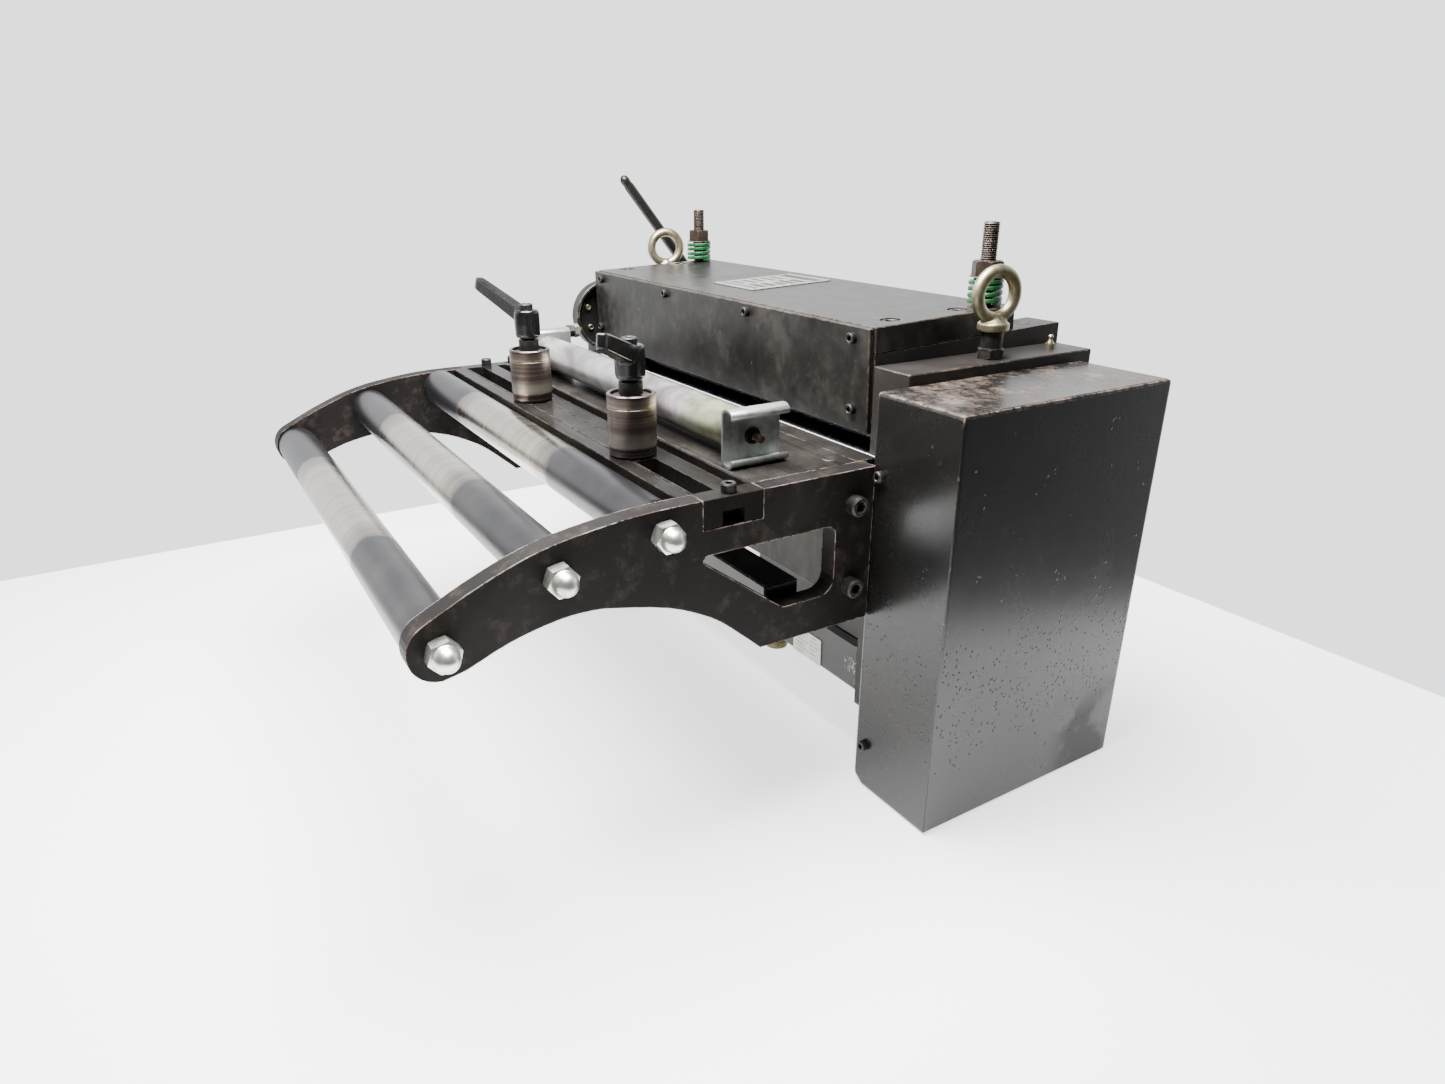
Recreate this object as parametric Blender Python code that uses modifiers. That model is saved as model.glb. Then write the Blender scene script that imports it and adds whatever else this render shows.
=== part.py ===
"""Servo roll feeder for strip stock, with slotted entry table, curved entry arms and belt guard.

Metres, +Z up. +X runs along the roll axes toward the belt guard, +Y is the feed direction.
Every point below is given in the machine datum (guard outer face X 0, guard front Y 0,
guard top Z 0, in millimetres) and mm() moves it to the part origin under the middle of the part.
"""
import math

import bmesh
import bpy
from mathutils import Matrix, Vector

# Position of the part origin in the machine datum, millimetres
ORIGIN = (-406.5, -63.86, -397.0)

# Side frames and yoke centre plane
YOKE_MID_X = -446.5
FRAME_R = (-149.0, -102.0)
FRAME_L = (-791.0, -744.0)
FRAME_Y = (36.0, 277.0)
FRAME_Z = (-345.0, 9.5)
GAP = 0.3

# Entry table and arms
TABLE_Z = -65.0
ARM_R = (-115.6, -97.0)
ARM_L = (-720.6, -702.0)
ARM_INNER = (-701.7, -115.9)
SLOT_Y = (-174.0, -154.0)
CHANNEL_Y = (-134.7, -122.3)

# Rolls
LOWER_ROLL_AXIS = (97.0, -110.0)
LOWER_ROLL_R = 45.0
UPPER_ROLL_AXIS = (97.0, -27.0)
UPPER_ROLL_R = 37.5
ENTRY_ROLLERS = ((-389.0, -135.5), (-299.5, -100.5), (-211.0, -85.5))
ENTRY_ROLLER_R = 22.0
ENTRY_MID_X = -408.8
ENTRY_ROLLER_HALF = 292.0
ENTRY_AXLE_SHOULDER = 311.9
TUBE_AXIS = (-86.0, -41.0)
TUBE_R = 19.3
TUBE_X = (-629.2, -167.5)
BRACKET_Y = (-116.5, -57.0)
BRACKET_TOP = -13.0
LIP_OUT = 9.0
LIP_UP = 5.4
SHEET = 2.2

# Yoke hinge and its resting tilt
YOKE_PIVOT = (50.0, -20.0)
YOKE_TILT = math.radians(2.2)

# Spring studs
STUD_X = {"right": -169.5, "left": -725.0}
STUD_Y = 191.0
STUD_TOP = {"right": 129.0, "left": 121.0}
SPRING_Z = (50.9, 77.0)
SPRING_R = 17.0
WIRE_WIDE = 6.0
WIRE_TALL = 4.4
COIL_TURNS = 4.0
COIL_POINTS = 14

# Release shaft
SHAFT_AXIS = (250.0, -10.9)
CAM_OFFSET = 5.0
CAM_R = 12.8

# Guide carriages: X positions on the slot, roller and post sizes
GUIDE_Y = -164.0
GUIDE_X = {"front": -242.0, "rear": -492.0}
GUIDE_R = 22.0
GUIDE_BAR_X = {"front": (-366.6, -221.0), "rear": (-513.0, -367.4)}
LEVER_AIM = {"front": (63.0, -54.0, 52.0), "rear": (-80.0, -23.0, 57.0)}

# Motor and belt drive
MOTOR_AXIS = (70.0, -308.0)
MOTOR_HALF = 29.5
ROLL_PULLEY_R = 46.0
MOTOR_PULLEY_R = 28.0


def mm(x, y, z):
    return Vector(((x - ORIGIN[0]) / 1000, (y - ORIGIN[1]) / 1000, (z - ORIGIN[2]) / 1000))


def clear_scene():
    for obj in list(bpy.data.objects):
        bpy.data.objects.remove(obj, do_unlink=True)


def new_collection(name):
    coll = bpy.data.collections.new(name)
    bpy.context.scene.collection.children.link(coll)
    return coll


clear_scene()
PARTS = new_collection("roll_feeder")
CUTTERS = new_collection("cutters")


# ---------------------------------------------------------------- materials
PALETTE = {
    "black_paint": ((0.028, 0.028, 0.030), 0.0, 0.42),
    "frame_paint": ((0.045, 0.042, 0.040), 0.2, 0.50),
    "cover_steel": ((0.085, 0.080, 0.075), 0.7, 0.45),
    "table_steel": ((0.200, 0.180, 0.160), 0.8, 0.45),
    "grey_steel": ((0.330, 0.320, 0.300), 0.6, 0.50),
    "roller_steel": ((0.240, 0.240, 0.245), 0.8, 0.40),
    "guide_steel": ((0.300, 0.260, 0.220), 0.9, 0.38),
    "zinc": ((0.620, 0.630, 0.580), 0.9, 0.32),
    "yellow_zinc": ((0.660, 0.600, 0.430), 0.8, 0.36),
    "spring_green": ((0.030, 0.220, 0.060), 0.0, 0.45),
    "black_oxide": ((0.040, 0.036, 0.034), 0.7, 0.45),
    "enamel_black": ((0.012, 0.012, 0.013), 0.0, 0.18),
    "chrome_roll": ((0.110, 0.115, 0.130), 1.0, 0.12),
    "rubber_black": ((0.020, 0.020, 0.020), 0.0, 0.75),
    "plate_silver": ((0.560, 0.550, 0.520), 0.8, 0.35),
    "olive_plating": ((0.170, 0.150, 0.070), 0.6, 0.45),
    "motor_grey": ((0.075, 0.074, 0.072), 0.2, 0.50),
}


def make_material(name, finish):
    color, metallic, roughness = PALETTE[finish]
    mat = bpy.data.materials.new(name)
    mat.use_nodes = True
    shader = mat.node_tree.nodes["Principled BSDF"]
    shader.inputs["Base Color"].default_value = (*color, 1.0)
    shader.inputs["Metallic"].default_value = metallic
    shader.inputs["Roughness"].default_value = roughness
    mat.diffuse_color = (*color, 1.0)
    return mat


def finish_part(obj, finish, parent=None, smooth=None):
    for coll in list(obj.users_collection):
        coll.objects.unlink(obj)
    PARTS.objects.link(obj)
    obj.data.materials.clear()
    obj.data.materials.append(make_material(obj.name + "_" + finish, finish))
    if parent is not None:
        adopt(obj, parent)
        for mod in obj.modifiers:
            if mod.type == "BOOLEAN":
                adopt(mod.object, parent)
    if smooth is not None:
        obj.data.shade_smooth()
        obj.data.set_sharp_from_angle(angle=math.radians(smooth))
    return obj


def adopt(obj, parent):
    """Parent at rest without moving: the child keeps the coordinates it was drawn in."""
    obj.parent = parent
    obj.matrix_parent_inverse = Matrix.Translation(parent["drawn_at"]).inverted()


def pivot(name, point, parent=None, tilt=0.0):
    """Empty on a joint axis; a tilt turns everything it carries about X."""
    empty = bpy.data.objects.new(name, None)
    empty.empty_display_size = 0.02
    PARTS.objects.link(empty)
    empty["drawn_at"] = point
    empty.location = point
    if parent is not None:
        adopt(empty, parent)
    empty.rotation_euler = (tilt, 0.0, 0.0)
    return empty


# ---------------------------------------------------------------- shape helpers
def mesh_object(name, bm):
    mesh = bpy.data.meshes.new(name)
    bm.normal_update()
    bm.to_mesh(mesh)
    bm.free()
    obj = bpy.data.objects.new(name, mesh)
    PARTS.objects.link(obj)
    return obj


def box(name, xs, ys, zs, bevel=0.0):
    """Block between two limits on each axis, with an optional edge break."""
    low = mm(xs[0], ys[0], zs[0])
    high = mm(xs[1], ys[1], zs[1])
    bm = bmesh.new()
    bmesh.ops.create_cube(bm, size=1.0, matrix=Matrix.Diagonal((*(high - low), 1.0)))
    obj = mesh_object(name, bm)
    obj.location = (low + high) / 2
    if bevel:
        add_bevel(obj, bevel)
    return obj


def add_bevel(obj, width, segments=1):
    mod = obj.modifiers.new("edge_break", "BEVEL")
    mod.width = width / 1000
    mod.segments = segments
    mod.limit_method = "ANGLE"
    mod.angle_limit = math.radians(40)
    return mod


def bar(name, start, end, radius, segments=24):
    """Round bar between two points of the datum."""
    a, b = mm(*start), mm(*end)
    bm = bmesh.new()
    bmesh.ops.create_cone(bm, cap_ends=True, segments=segments, radius1=radius / 1000,
                          radius2=radius / 1000, depth=(b - a).length)
    obj = mesh_object(name, bm)
    obj.location = (a + b) / 2
    obj.rotation_euler = (b - a).to_track_quat("Z", "Y").to_euler()
    return obj


AXIS_TURN = {
    "X": (0.0, math.pi / 2, 0.0),
    "-Y": (math.pi / 2, 0.0, 0.0),
    "Z": (0.0, 0.0, 0.0),
}


def turned(name, base, axis, profile, steps=24):
    """Body turned about an axis through base. The profile lists (radius, height) top to bottom."""
    bm = bmesh.new()
    verts = [bm.verts.new((r / 1000, 0.0, h / 1000)) for r, h in profile]
    for first, second in zip(verts, verts[1:]):
        bm.edges.new((first, second))
    obj = mesh_object(name, bm)
    obj.location = mm(*base)
    obj.rotation_euler = AXIS_TURN[axis]
    screw = obj.modifiers.new("turn", "SCREW")
    screw.axis = "Z"
    screw.angle = math.tau
    screw.steps = steps
    screw.render_steps = steps
    screw.use_merge_vertices = True
    screw.merge_threshold = 0.00001
    return obj


def plate(name, outlines, limits, bevel=0.0, across="X"):
    """Plate cut to an outline, with holes as extra outlines, between two limits across it.

    Outlines are (y, z) pairs for a plate across X and (x, z) pairs for one across Y.
    """
    curve = bpy.data.curves.new(name, "CURVE")
    curve.dimensions = "2D"
    curve.fill_mode = "BOTH"
    curve.extrude = (limits[1] - limits[0]) / 2000
    for points in outlines:
        spline = curve.splines.new("POLY")
        spline.points.add(len(points) - 1)
        for point, (u, z) in zip(spline.points, points):
            spot = mm(u, u, z)
            point.co = (spot.y if across == "X" else spot.x, spot.z, 0.0, 1.0)
        spline.use_cyclic_u = True
    source = bpy.data.objects.new(name + "_outline", curve)
    PARTS.objects.link(source)
    bpy.context.view_layer.update()
    obj = solid_from_curve(name, source)
    half_way = (limits[0] + limits[1]) / 2
    middle = mm(half_way, half_way, 0.0)
    if across == "X":
        obj.matrix_world = Matrix(((0, 0, 1, middle.x), (1, 0, 0, 0), (0, 1, 0, 0), (0, 0, 0, 1)))
    else:
        obj.matrix_world = Matrix(((1, 0, 0, 0), (0, 0, -1, middle.y), (0, 1, 0, 0), (0, 0, 0, 1)))
    if bevel:
        add_bevel(obj, bevel)
    return obj


def solid_from_curve(name, source):
    graph = bpy.context.evaluated_depsgraph_get()
    mesh = bpy.data.meshes.new_from_object(source.evaluated_get(graph), depsgraph=graph)
    bm = bmesh.new()
    bm.from_mesh(mesh)
    bmesh.ops.remove_doubles(bm, verts=bm.verts, dist=0.00001)
    bmesh.ops.recalc_face_normals(bm, faces=bm.faces)
    bm.to_mesh(mesh)
    bm.free()
    mesh.name = name
    obj = bpy.data.objects.new(name, mesh)
    PARTS.objects.link(obj)
    obj.matrix_world = source.matrix_world.copy()
    old_curve = source.data
    bpy.data.objects.remove(source, do_unlink=True)
    bpy.data.curves.remove(old_curve)
    return obj


def combine(target, tool, operation):
    """Boolean the tool into the target and keep the tool with the cutters."""
    for coll in list(tool.users_collection):
        coll.objects.unlink(tool)
    CUTTERS.objects.link(tool)
    tool.hide_render = True
    tool.display_type = "WIRE"
    mod = target.modifiers.new(operation.lower() + "_" + tool.name, "BOOLEAN")
    mod.operation = operation
    mod.solver = "EXACT"
    mod.object = tool
    return target


def cut(target, *tools):
    for tool in tools:
        combine(target, tool, "DIFFERENCE")
    return target


def join(target, *tools):
    for tool in tools:
        combine(target, tool, "UNION")
    return target


def arc(cy, cz, radius, start, end, count):
    """Points on a circle from start to end degrees."""
    points = []
    for i in range(count + 1):
        angle = math.radians(start + (end - start) * i / count)
        points.append((cy + radius * math.cos(angle), cz + radius * math.sin(angle)))
    return points


def smooth_run(points, per_span=3):
    """Catmull-Rom run through the points, ends included."""
    run = []
    padded = [points[0], *points, points[-1]]
    for i in range(1, len(padded) - 2):
        p0, p1, p2, p3 = padded[i - 1:i + 3]
        for k in range(per_span):
            t = k / per_span
            run.append(tuple(
                0.5 * (2 * b + (c - a) * t + (2 * a - 5 * b + 4 * c - d) * t * t
                       + (3 * b - a - 3 * c + d) * t ** 3)
                for a, b, c, d in zip(p0, p1, p2, p3)))
    run.append(points[-1])
    return run


def rounded(corners):
    """Closed outline whose corners (y, z, radius) are rounded with short arcs."""
    outline = []
    count = len(corners)
    for i, (y, z, radius) in enumerate(corners):
        here = Vector((y, z))
        before = (Vector(corners[i - 1][:2]) - here).normalized()
        after = (Vector(corners[(i + 1) % count][:2]) - here).normalized()
        half = before.angle(after) / 2
        centre = here + (before + after).normalized() * (radius / math.sin(half))
        first = here + before * (radius / math.tan(half)) - centre
        turn = math.pi - 2 * half
        sign = 1.0 if before.x * after.y - before.y * after.x < 0 else -1.0
        for k in range(5):
            angle = sign * turn * k / 4
            spun = Vector((first.x * math.cos(angle) - first.y * math.sin(angle),
                           first.x * math.sin(angle) + first.y * math.cos(angle)))
            outline.append(tuple(centre + spun))
    return outline


# ---------------------------------------------------------------- side frames
def side_frame(name, xs, inward):
    """Heavy side plate with bores for the lower roll, the yoke pin and the release shaft."""
    obj = box(name, xs, FRAME_Y, FRAME_Z, bevel=1.0)
    bores = (
        ("roll_bore", LOWER_ROLL_AXIS, 15.4),
        ("pin_bore", YOKE_PIVOT, 8.3),
        ("shaft_bore", SHAFT_AXIS, 9.3),
    )
    for label, (y, z), radius in bores:
        cut(obj, bar(name + "_" + label, (xs[0] - 5, y, z), (xs[1] + 5, y, z), radius))
    if inward > 0:
        y, z = YOKE_PIVOT
        recess = bar(name + "_hub_recess", (xs[1] - 18.3, y, z), (xs[1] + 5, y, z), 48.4, 36)
        cut(obj, recess)
    else:
        y, z = MOTOR_AXIS
        cut(obj, bar(name + "_motor_bore", (xs[0] - 5, y, z), (xs[1] + 5, y, z), 13.0))
    return finish_part(obj, "frame_paint")


side_frame("side_frame_right", FRAME_R, -1)
side_frame("side_frame_left", FRAME_L, 1)

# Round bearing hub of the yoke pin, standing proud of the left frame
hub = turned(
    "pivot_hub_left", (-762.0, *YOKE_PIVOT), "X",
    [(0, 34), (8, 34), (8, 14.5), (43.5, 14.5), (44.5, 17.9), (47.5, 17.9), (48, 17.4),
     (48, 0), (8, 0), (8, -29), (0, -29)], steps=36)
finish_part(hub, "frame_paint", smooth=35)

pin = turned(
    "pivot_pin_right", (-150.0, *YOKE_PIVOT), "X",
    [(0, 47.7), (8, 47.7), (8, -14), (0, -14)])
finish_part(pin, "black_oxide", smooth=35)

# Cross members between the frames
front_plate = box("lower_front_plate", (-743.7, -149.3), (36.5, 46.5), (-240.0, -92.0), bevel=1.0)
finish_part(front_plate, "grey_steel")
rear_beam = box("rear_cross_beam", (-743.7, -149.3), (235.0, 276.0), (-330.0, -270.0), bevel=1.0)
finish_part(rear_beam, "frame_paint")


# ---------------------------------------------------------------- entry table
def arm_outline():
    """Side plate: rounded nose, hollow underside, square back and a pocket for the slide."""
    nose_y, nose_z = ENTRY_ROLLERS[0]
    nose = arc(nose_y, nose_z, 24.0, 118, 268, 12)
    top = smooth_run([(-176.0, -65.0), (-212.0, -65.1), (-248.1, -67.2), (-297.3, -74.1),
                      (-332.6, -83.8), (-366.8, -97.8)])
    under = smooth_run([(-373.0, -156.0), (-337.7, -142.5), (-301.6, -135.0), (-274.0, -134.3),
                        (-251.4, -138.0), (-207.9, -149.5), (-176.0, -164.5), (-158.1, -176.3),
                        (-138.1, -193.6), (-119.9, -210.1)])
    back = [(-36.7, -210.8), (-2.5, -210.8), (-1.0, -209.3), (-1.0, -65.0), (-118.8, -65.0),
            (-118.8, -90.3), (-176.0, -90.3)]
    return top + nose + under + back


def window_outline():
    return rounded([(-184.0, -112.2, 4.0), (-42.0, -112.2, 9.0), (-42.0, -177.2, 15.0),
                    (-97.0, -177.2, 9.0)])


for side, xs in (("right", ARM_R), ("left", ARM_L)):
    arm = plate("entry_arm_" + side, [arm_outline(), window_outline()], xs)
    for index, (y, z) in enumerate(ENTRY_ROLLERS):
        cut(arm, bar(f"arm_{side}_hole_{index}", (xs[0] - 5, y, z), (xs[1] + 5, y, z), 8.3, 20))
    finish_part(arm, "black_paint")

right_block = box("arm_block_right", (-132.0, -115.9), (-29.5, 35.7), (-205.0, -77.6), bevel=1.0)
finish_part(right_block, "frame_paint")
left_block = box("arm_block_left", (-791.0, -720.9), (-38.0, 35.7), (-205.0, -77.6), bevel=1.0)
finish_part(left_block, "frame_paint")
finish_part(box("arm_cross_beam", ARM_INNER, (-103.0, -67.0), (-200.0, -164.0), bevel=1.5),
            "black_paint")

front_strip = box("table_front_strip", ARM_INNER, (-190.5, -176.3), (-75.0, TABLE_Z), bevel=0.6)
finish_part(front_strip, "table_steel")

slide = box("slotted_slide_plate", (-720.6, -97.0), (-175.7, -119.1), (-90.0, TABLE_Z), bevel=0.6)
cut(slide,
    box("slide_slot", (-701.0, -116.5), SLOT_Y, (-83.5, -60.0)),
    box("slide_channel", (-701.0, -116.5), CHANNEL_Y, (-77.0, -60.0)),
    box("slide_end_notch", (-108.0, -90.0), (-158.0, -137.0), (-95.0, -77.0)),
    box("slide_end_notch_left", (-730.0, -709.6), (-158.0, -137.0), (-95.0, -77.0)))
finish_part(slide, "table_steel")

inset = box("table_inset_plate", ARM_INNER, (-118.8, -6.3), (-77.3, TABLE_Z), bevel=0.6)
finish_part(inset, "table_steel")
lip = box("table_rear_lip", ARM_INNER, (-6.0, 17.8), (-77.3, TABLE_Z), bevel=0.6)
finish_part(lip, "table_steel")


# ---------------------------------------------------------------- fasteners with a drawn head
def cap_screw(name, seat, direction, head_r, head_h, finish):
    """Socket head standing on its seat, with a hexagon recess."""
    obj = turned(name, seat, direction,
                 [(0, head_h), (head_r * 0.9, head_h), (head_r, head_h * 0.9), (head_r, 0.3),
                  (0, 0.3)], steps=18)
    socket = bmesh.new()
    bmesh.ops.create_cone(socket, cap_ends=True, segments=6, radius1=head_r * 0.55 / 1000,
                          radius2=head_r * 0.55 / 1000, depth=head_h / 1000)
    tool = mesh_object(name + "_socket", socket)
    tool.rotation_euler = AXIS_TURN[direction]
    offset = Vector((0, 0, head_h / 1000))
    offset.rotate(tool.rotation_euler)
    tool.location = mm(*seat) + offset
    cut(obj, tool)
    return finish_part(obj, finish, smooth=35)


cap_screw("table_screw_right", (-106.0, -147.0, TABLE_Z), "Z", 6.5, 8.0, "black_oxide")
cap_screw("table_screw_left", (-711.0, -145.0, TABLE_Z), "Z", 6.5, 8.0, "black_oxide")


# ---------------------------------------------------------------- entry rollers
for number, (y, z) in enumerate(ENTRY_ROLLERS, start=1):
    centre = pivot(f"entry_roller_axis_{number}", mm(ENTRY_MID_X, y, z))
    half = ENTRY_ROLLER_HALF
    roller = turned(
        f"entry_roller_{number}", (ENTRY_MID_X, y, z), "X",
        [(9, half), (ENTRY_ROLLER_R - 1, half), (ENTRY_ROLLER_R, half - 1),
         (ENTRY_ROLLER_R, 1 - half), (ENTRY_ROLLER_R - 1, -half), (9, -half), (9, half)],
        steps=28)
    finish_part(roller, "roller_steel", centre, smooth=35)
    end = ENTRY_AXLE_SHOULDER
    axle = turned(
        f"entry_axle_{number}", (ENTRY_MID_X, y, z), "X",
        [(0, end + 25), (4.6, end + 24), (8.4, end + 20.5), (10.6, end + 15), (11, end + 10),
         (12.8, end + 9.4), (12.8, end + 0.3), (8, end + 0.3), (8, -end - 0.3),
         (12.8, -end - 0.3), (12.8, -end - 9.4), (11, -end - 10), (10.6, -end - 15),
         (8.4, -end - 20.5), (4.6, -end - 24), (0, -end - 25)], steps=16)
    finish_part(axle, "zinc", smooth=35)


# ---------------------------------------------------------------- guide carriages
def guide_carriage(label):
    """Post on a bar flush with the slot, carrying an edge roller and a clamp lever."""
    x = GUIDE_X[label]
    base = pivot(f"guide_{label}_slide", mm(x, GUIDE_Y, TABLE_Z))
    post = turned(
        f"guide_post_{label}", (x, GUIDE_Y, TABLE_Z), "Z",
        [(0, 69.7), (6, 69.7), (6, 67), (10.8, 67), (10.8, 57.7), (9, 57.7), (9, -17.9),
         (0, -17.9)])
    bar_x = GUIDE_BAR_X[label]
    slide_bar = box(f"guide_bar_{label}", bar_x, (-173.6, -154.4), (-83.2, TABLE_Z - GAP))
    finish_part(join(post, slide_bar), "black_oxide", base, smooth=35)
    spin = pivot(f"guide_{label}_spin", mm(x, GUIDE_Y, TABLE_Z), base)
    roller = turned(
        f"guide_roller_{label}", (x, GUIDE_Y, TABLE_Z), "Z",
        [(9.4, 54.4), (17.5, 54.4), (17.5, 57), (20.8, 57), (GUIDE_R, 56), (GUIDE_R, 9.5),
         (GUIDE_R - 0.7, 9.2), (GUIDE_R - 0.7, 1.2), (20.5, 0.4), (9.4, 0.4), (9.4, 54.4)],
        steps=28)
    finish_part(roller, "guide_steel", spin, smooth=35)
    clamp = pivot(f"guide_{label}_clamp", mm(x, GUIDE_Y, TABLE_Z + 68), base)
    aim_x, aim_y, tip_z = LEVER_AIM[label]
    length = math.hypot(aim_x, aim_y)
    lever = turned(
        f"clamp_lever_{label}", (x, GUIDE_Y, TABLE_Z), "Z",
        [(0, 106), (6.4, 106), (7, 105.4), (7, 101.5), (12, 100.5), (13.2, 98.5), (13.4, 70.2),
         (12.6, 69.2), (6.4, 67.3), (6.4, 70), (0, 70)], steps=20)
    run = (aim_x / length, aim_y / length)
    root = (x + run[0] * 4, GUIDE_Y + run[1] * 4, 25.0)
    tip = (x + aim_x, GUIDE_Y + aim_y, tip_z)
    arm = tapered_bar(f"clamp_arm_{label}", root, tip, 8.2, 5.6)
    knob = ball(f"clamp_knob_{label}", tip, 6.6)
    finish_part(join(lever, arm, knob), "enamel_black", clamp, smooth=40)


def tapered_bar(name, start, end, start_r, end_r):
    a, b = mm(*start), mm(*end)
    bm = bmesh.new()
    bmesh.ops.create_cone(bm, cap_ends=True, segments=14, radius1=start_r / 1000,
                          radius2=end_r / 1000, depth=(b - a).length)
    obj = mesh_object(name, bm)
    obj.location = (a + b) / 2
    obj.rotation_euler = (b - a).to_track_quat("Z", "Y").to_euler()
    return obj


def ball(name, centre, radius):
    bm = bmesh.new()
    bmesh.ops.create_uvsphere(bm, u_segments=14, v_segments=8, radius=radius / 1000)
    obj = mesh_object(name, bm)
    obj.location = mm(*centre)
    return obj


guide_carriage("front")
guide_carriage("rear")


# ---------------------------------------------------------------- hold-down tube roller
def half_curl(rise, start, end):
    """Rolled lip of the bracket, as (outward, up) points around its flattened round."""
    outer, inner = [], []
    for i in range(9):
        angle = math.radians(start + (end - start) * i / 8)
        outer.append((LIP_OUT + LIP_OUT * math.cos(angle), rise + LIP_UP * math.sin(angle)))
        inner.append((LIP_OUT + (LIP_OUT - SHEET) * math.cos(angle),
                      rise + (LIP_UP - SHEET) * math.sin(angle)))
    return outer, inner


def curl_bracket(name, web_x, toward):
    """Channel standing on the table whose two lips roll away from the tube."""
    foot = TABLE_Z + GAP
    low_outer, low_inner = half_curl(foot + LIP_UP, 395, 180)
    top_outer, top_inner = half_curl(BRACKET_TOP - LIP_UP, 180, -35)
    section = low_outer + top_outer + top_inner[::-1] + low_inner[::-1]
    outline = [(web_x + toward * out, up) for out, up in section]
    return plate(name, [outline], BRACKET_Y, across="Y")


for side, web_x, toward in (("right", TUBE_X[1] + 0.8, 1), ("left", TUBE_X[0] - 0.8, -1)):
    bracket = curl_bracket("tube_bracket_" + side, web_x, toward)
    y, z = TUBE_AXIS
    cut(bracket, bar(f"tube_bracket_{side}_hole", (web_x - 20, y, z), (web_x + 20, y, z), 6.3, 24))
    finish_part(bracket, "zinc")

tube_mid = (TUBE_X[0] + TUBE_X[1]) / 2
tube_half = (TUBE_X[1] - TUBE_X[0]) / 2
tube_axis = pivot("tube_roller_axis", mm(tube_mid, *TUBE_AXIS))
tube = turned(
    "hold_down_tube", (tube_mid, *TUBE_AXIS), "X",
    [(7, tube_half), (TUBE_R - 0.8, tube_half), (TUBE_R, tube_half - 0.8),
     (TUBE_R, 0.8 - tube_half), (TUBE_R - 0.8, -tube_half), (7, -tube_half), (7, tube_half)],
    steps=28)
finish_part(tube, "zinc", tube_axis, smooth=35)
shaft_end = tube_half + 3.7
tube_shaft = turned(
    "hold_down_shaft", (tube_mid, *TUBE_AXIS), "X",
    [(0, shaft_end + 6), (7.4, shaft_end + 6), (8.4, shaft_end + 5), (8.4, shaft_end), (6, shaft_end),
     (6, -shaft_end), (8.4, -shaft_end), (8.4, -shaft_end - 5), (7.4, -shaft_end - 6),
     (0, -shaft_end - 6)], steps=16)
finish_part(tube_shaft, "black_oxide", smooth=35)


# ---------------------------------------------------------------- yoke and upper roll
yoke = pivot("yoke_hinge", mm(YOKE_MID_X, *YOKE_PIVOT), tilt=YOKE_TILT)


def yoke_side(label, xs):
    """Yoke side bar: a deep cheek around the roll and a long tail to the release cam."""
    py, pz = YOKE_PIVOT
    corners = [(-10.6, 39.7, 1), (236.0, 39.7, 1), (236.0, 12.0, 2), (100.0, 12.0, 10),
               (86.0, -36.0, 14), (12.0, -36.0, 14), (-10.6, -20.0, 6)]
    outline = rounded([(py + y, pz + z, r) for y, z, r in corners])
    obj = plate("yoke_bar_" + label, [outline], xs, bevel=0.8)
    roll_y, roll_z = untilted(*UPPER_ROLL_AXIS)
    spots = (("pin", py, pz, 8.3), ("roll", roll_y, roll_z, 12.3))
    for tag, y, z, radius in spots:
        cut(obj, bar(f"yoke_{label}_{tag}_bore", (xs[0] - 5, y, z), (xs[1] + 5, y, z), radius))
    stud_y, _ = untilted(STUD_Y, 20.0)
    stud_x = STUD_X[label]
    clear = bar(f"yoke_{label}_stud_bore", (stud_x, stud_y, -40), (stud_x, stud_y, 60), 10.5)
    cut(obj, clear)
    return finish_part(obj, "frame_paint", yoke)


def untilted(y, z):
    """Where a point has to be drawn so that the yoke's tilt brings it to (y, z)."""
    dy, dz = y - YOKE_PIVOT[0], z - YOKE_PIVOT[1]
    c, s = math.cos(-YOKE_TILT), math.sin(-YOKE_TILT)
    return YOKE_PIVOT[0] + dy * c - dz * s, YOKE_PIVOT[1] + dy * s + dz * c


BAR_R = (-192.0, -151.0)
BAR_L = (-742.0, -701.0)
COUNTERBORE_X = {"right": -173.0, "left": -722.0}
COUNTERBORE_Y = (75.0, 161.0)
COUNTERBORE_R = 10.0
COUNTERBORE_DEEP = 12.0
yoke_side("right", BAR_R)
yoke_side("left", BAR_L)

block = box("yoke_top_block", (-742.0, -151.0), (39.4, 218.4), (20.0, 44.0), bevel=0.8)
for tag, stud_x in STUD_X.items():
    stud_y, _ = untilted(STUD_Y, 40.0)
    clear = bar(f"block_stud_bore_{tag}", (stud_x, stud_y, 10), (stud_x, stud_y, 60), 10.5)
    cut(block, clear)
for tag, x in COUNTERBORE_X.items():
    for y in COUNTERBORE_Y:
        sink = bar(f"block_counterbore_{tag}_{int(y)}", (x, y, 44.0 - COUNTERBORE_DEEP), (x, y, 50.0),
                   COUNTERBORE_R, 20)
        cut(block, sink)
finish_part(block, "cover_steel", yoke)

cover = box("yoke_front_cover", (-743.2, -153.5), (34.1, 39.1), (-55.5, 43.0), bevel=0.8)
finish_part(cover, "cover_steel", yoke)

nameplate = box("nameplate", (-507.0, -421.0), (86.0, 200.0), (44.3, 45.3))
finish_part(nameplate, "plate_silver", yoke)

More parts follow.
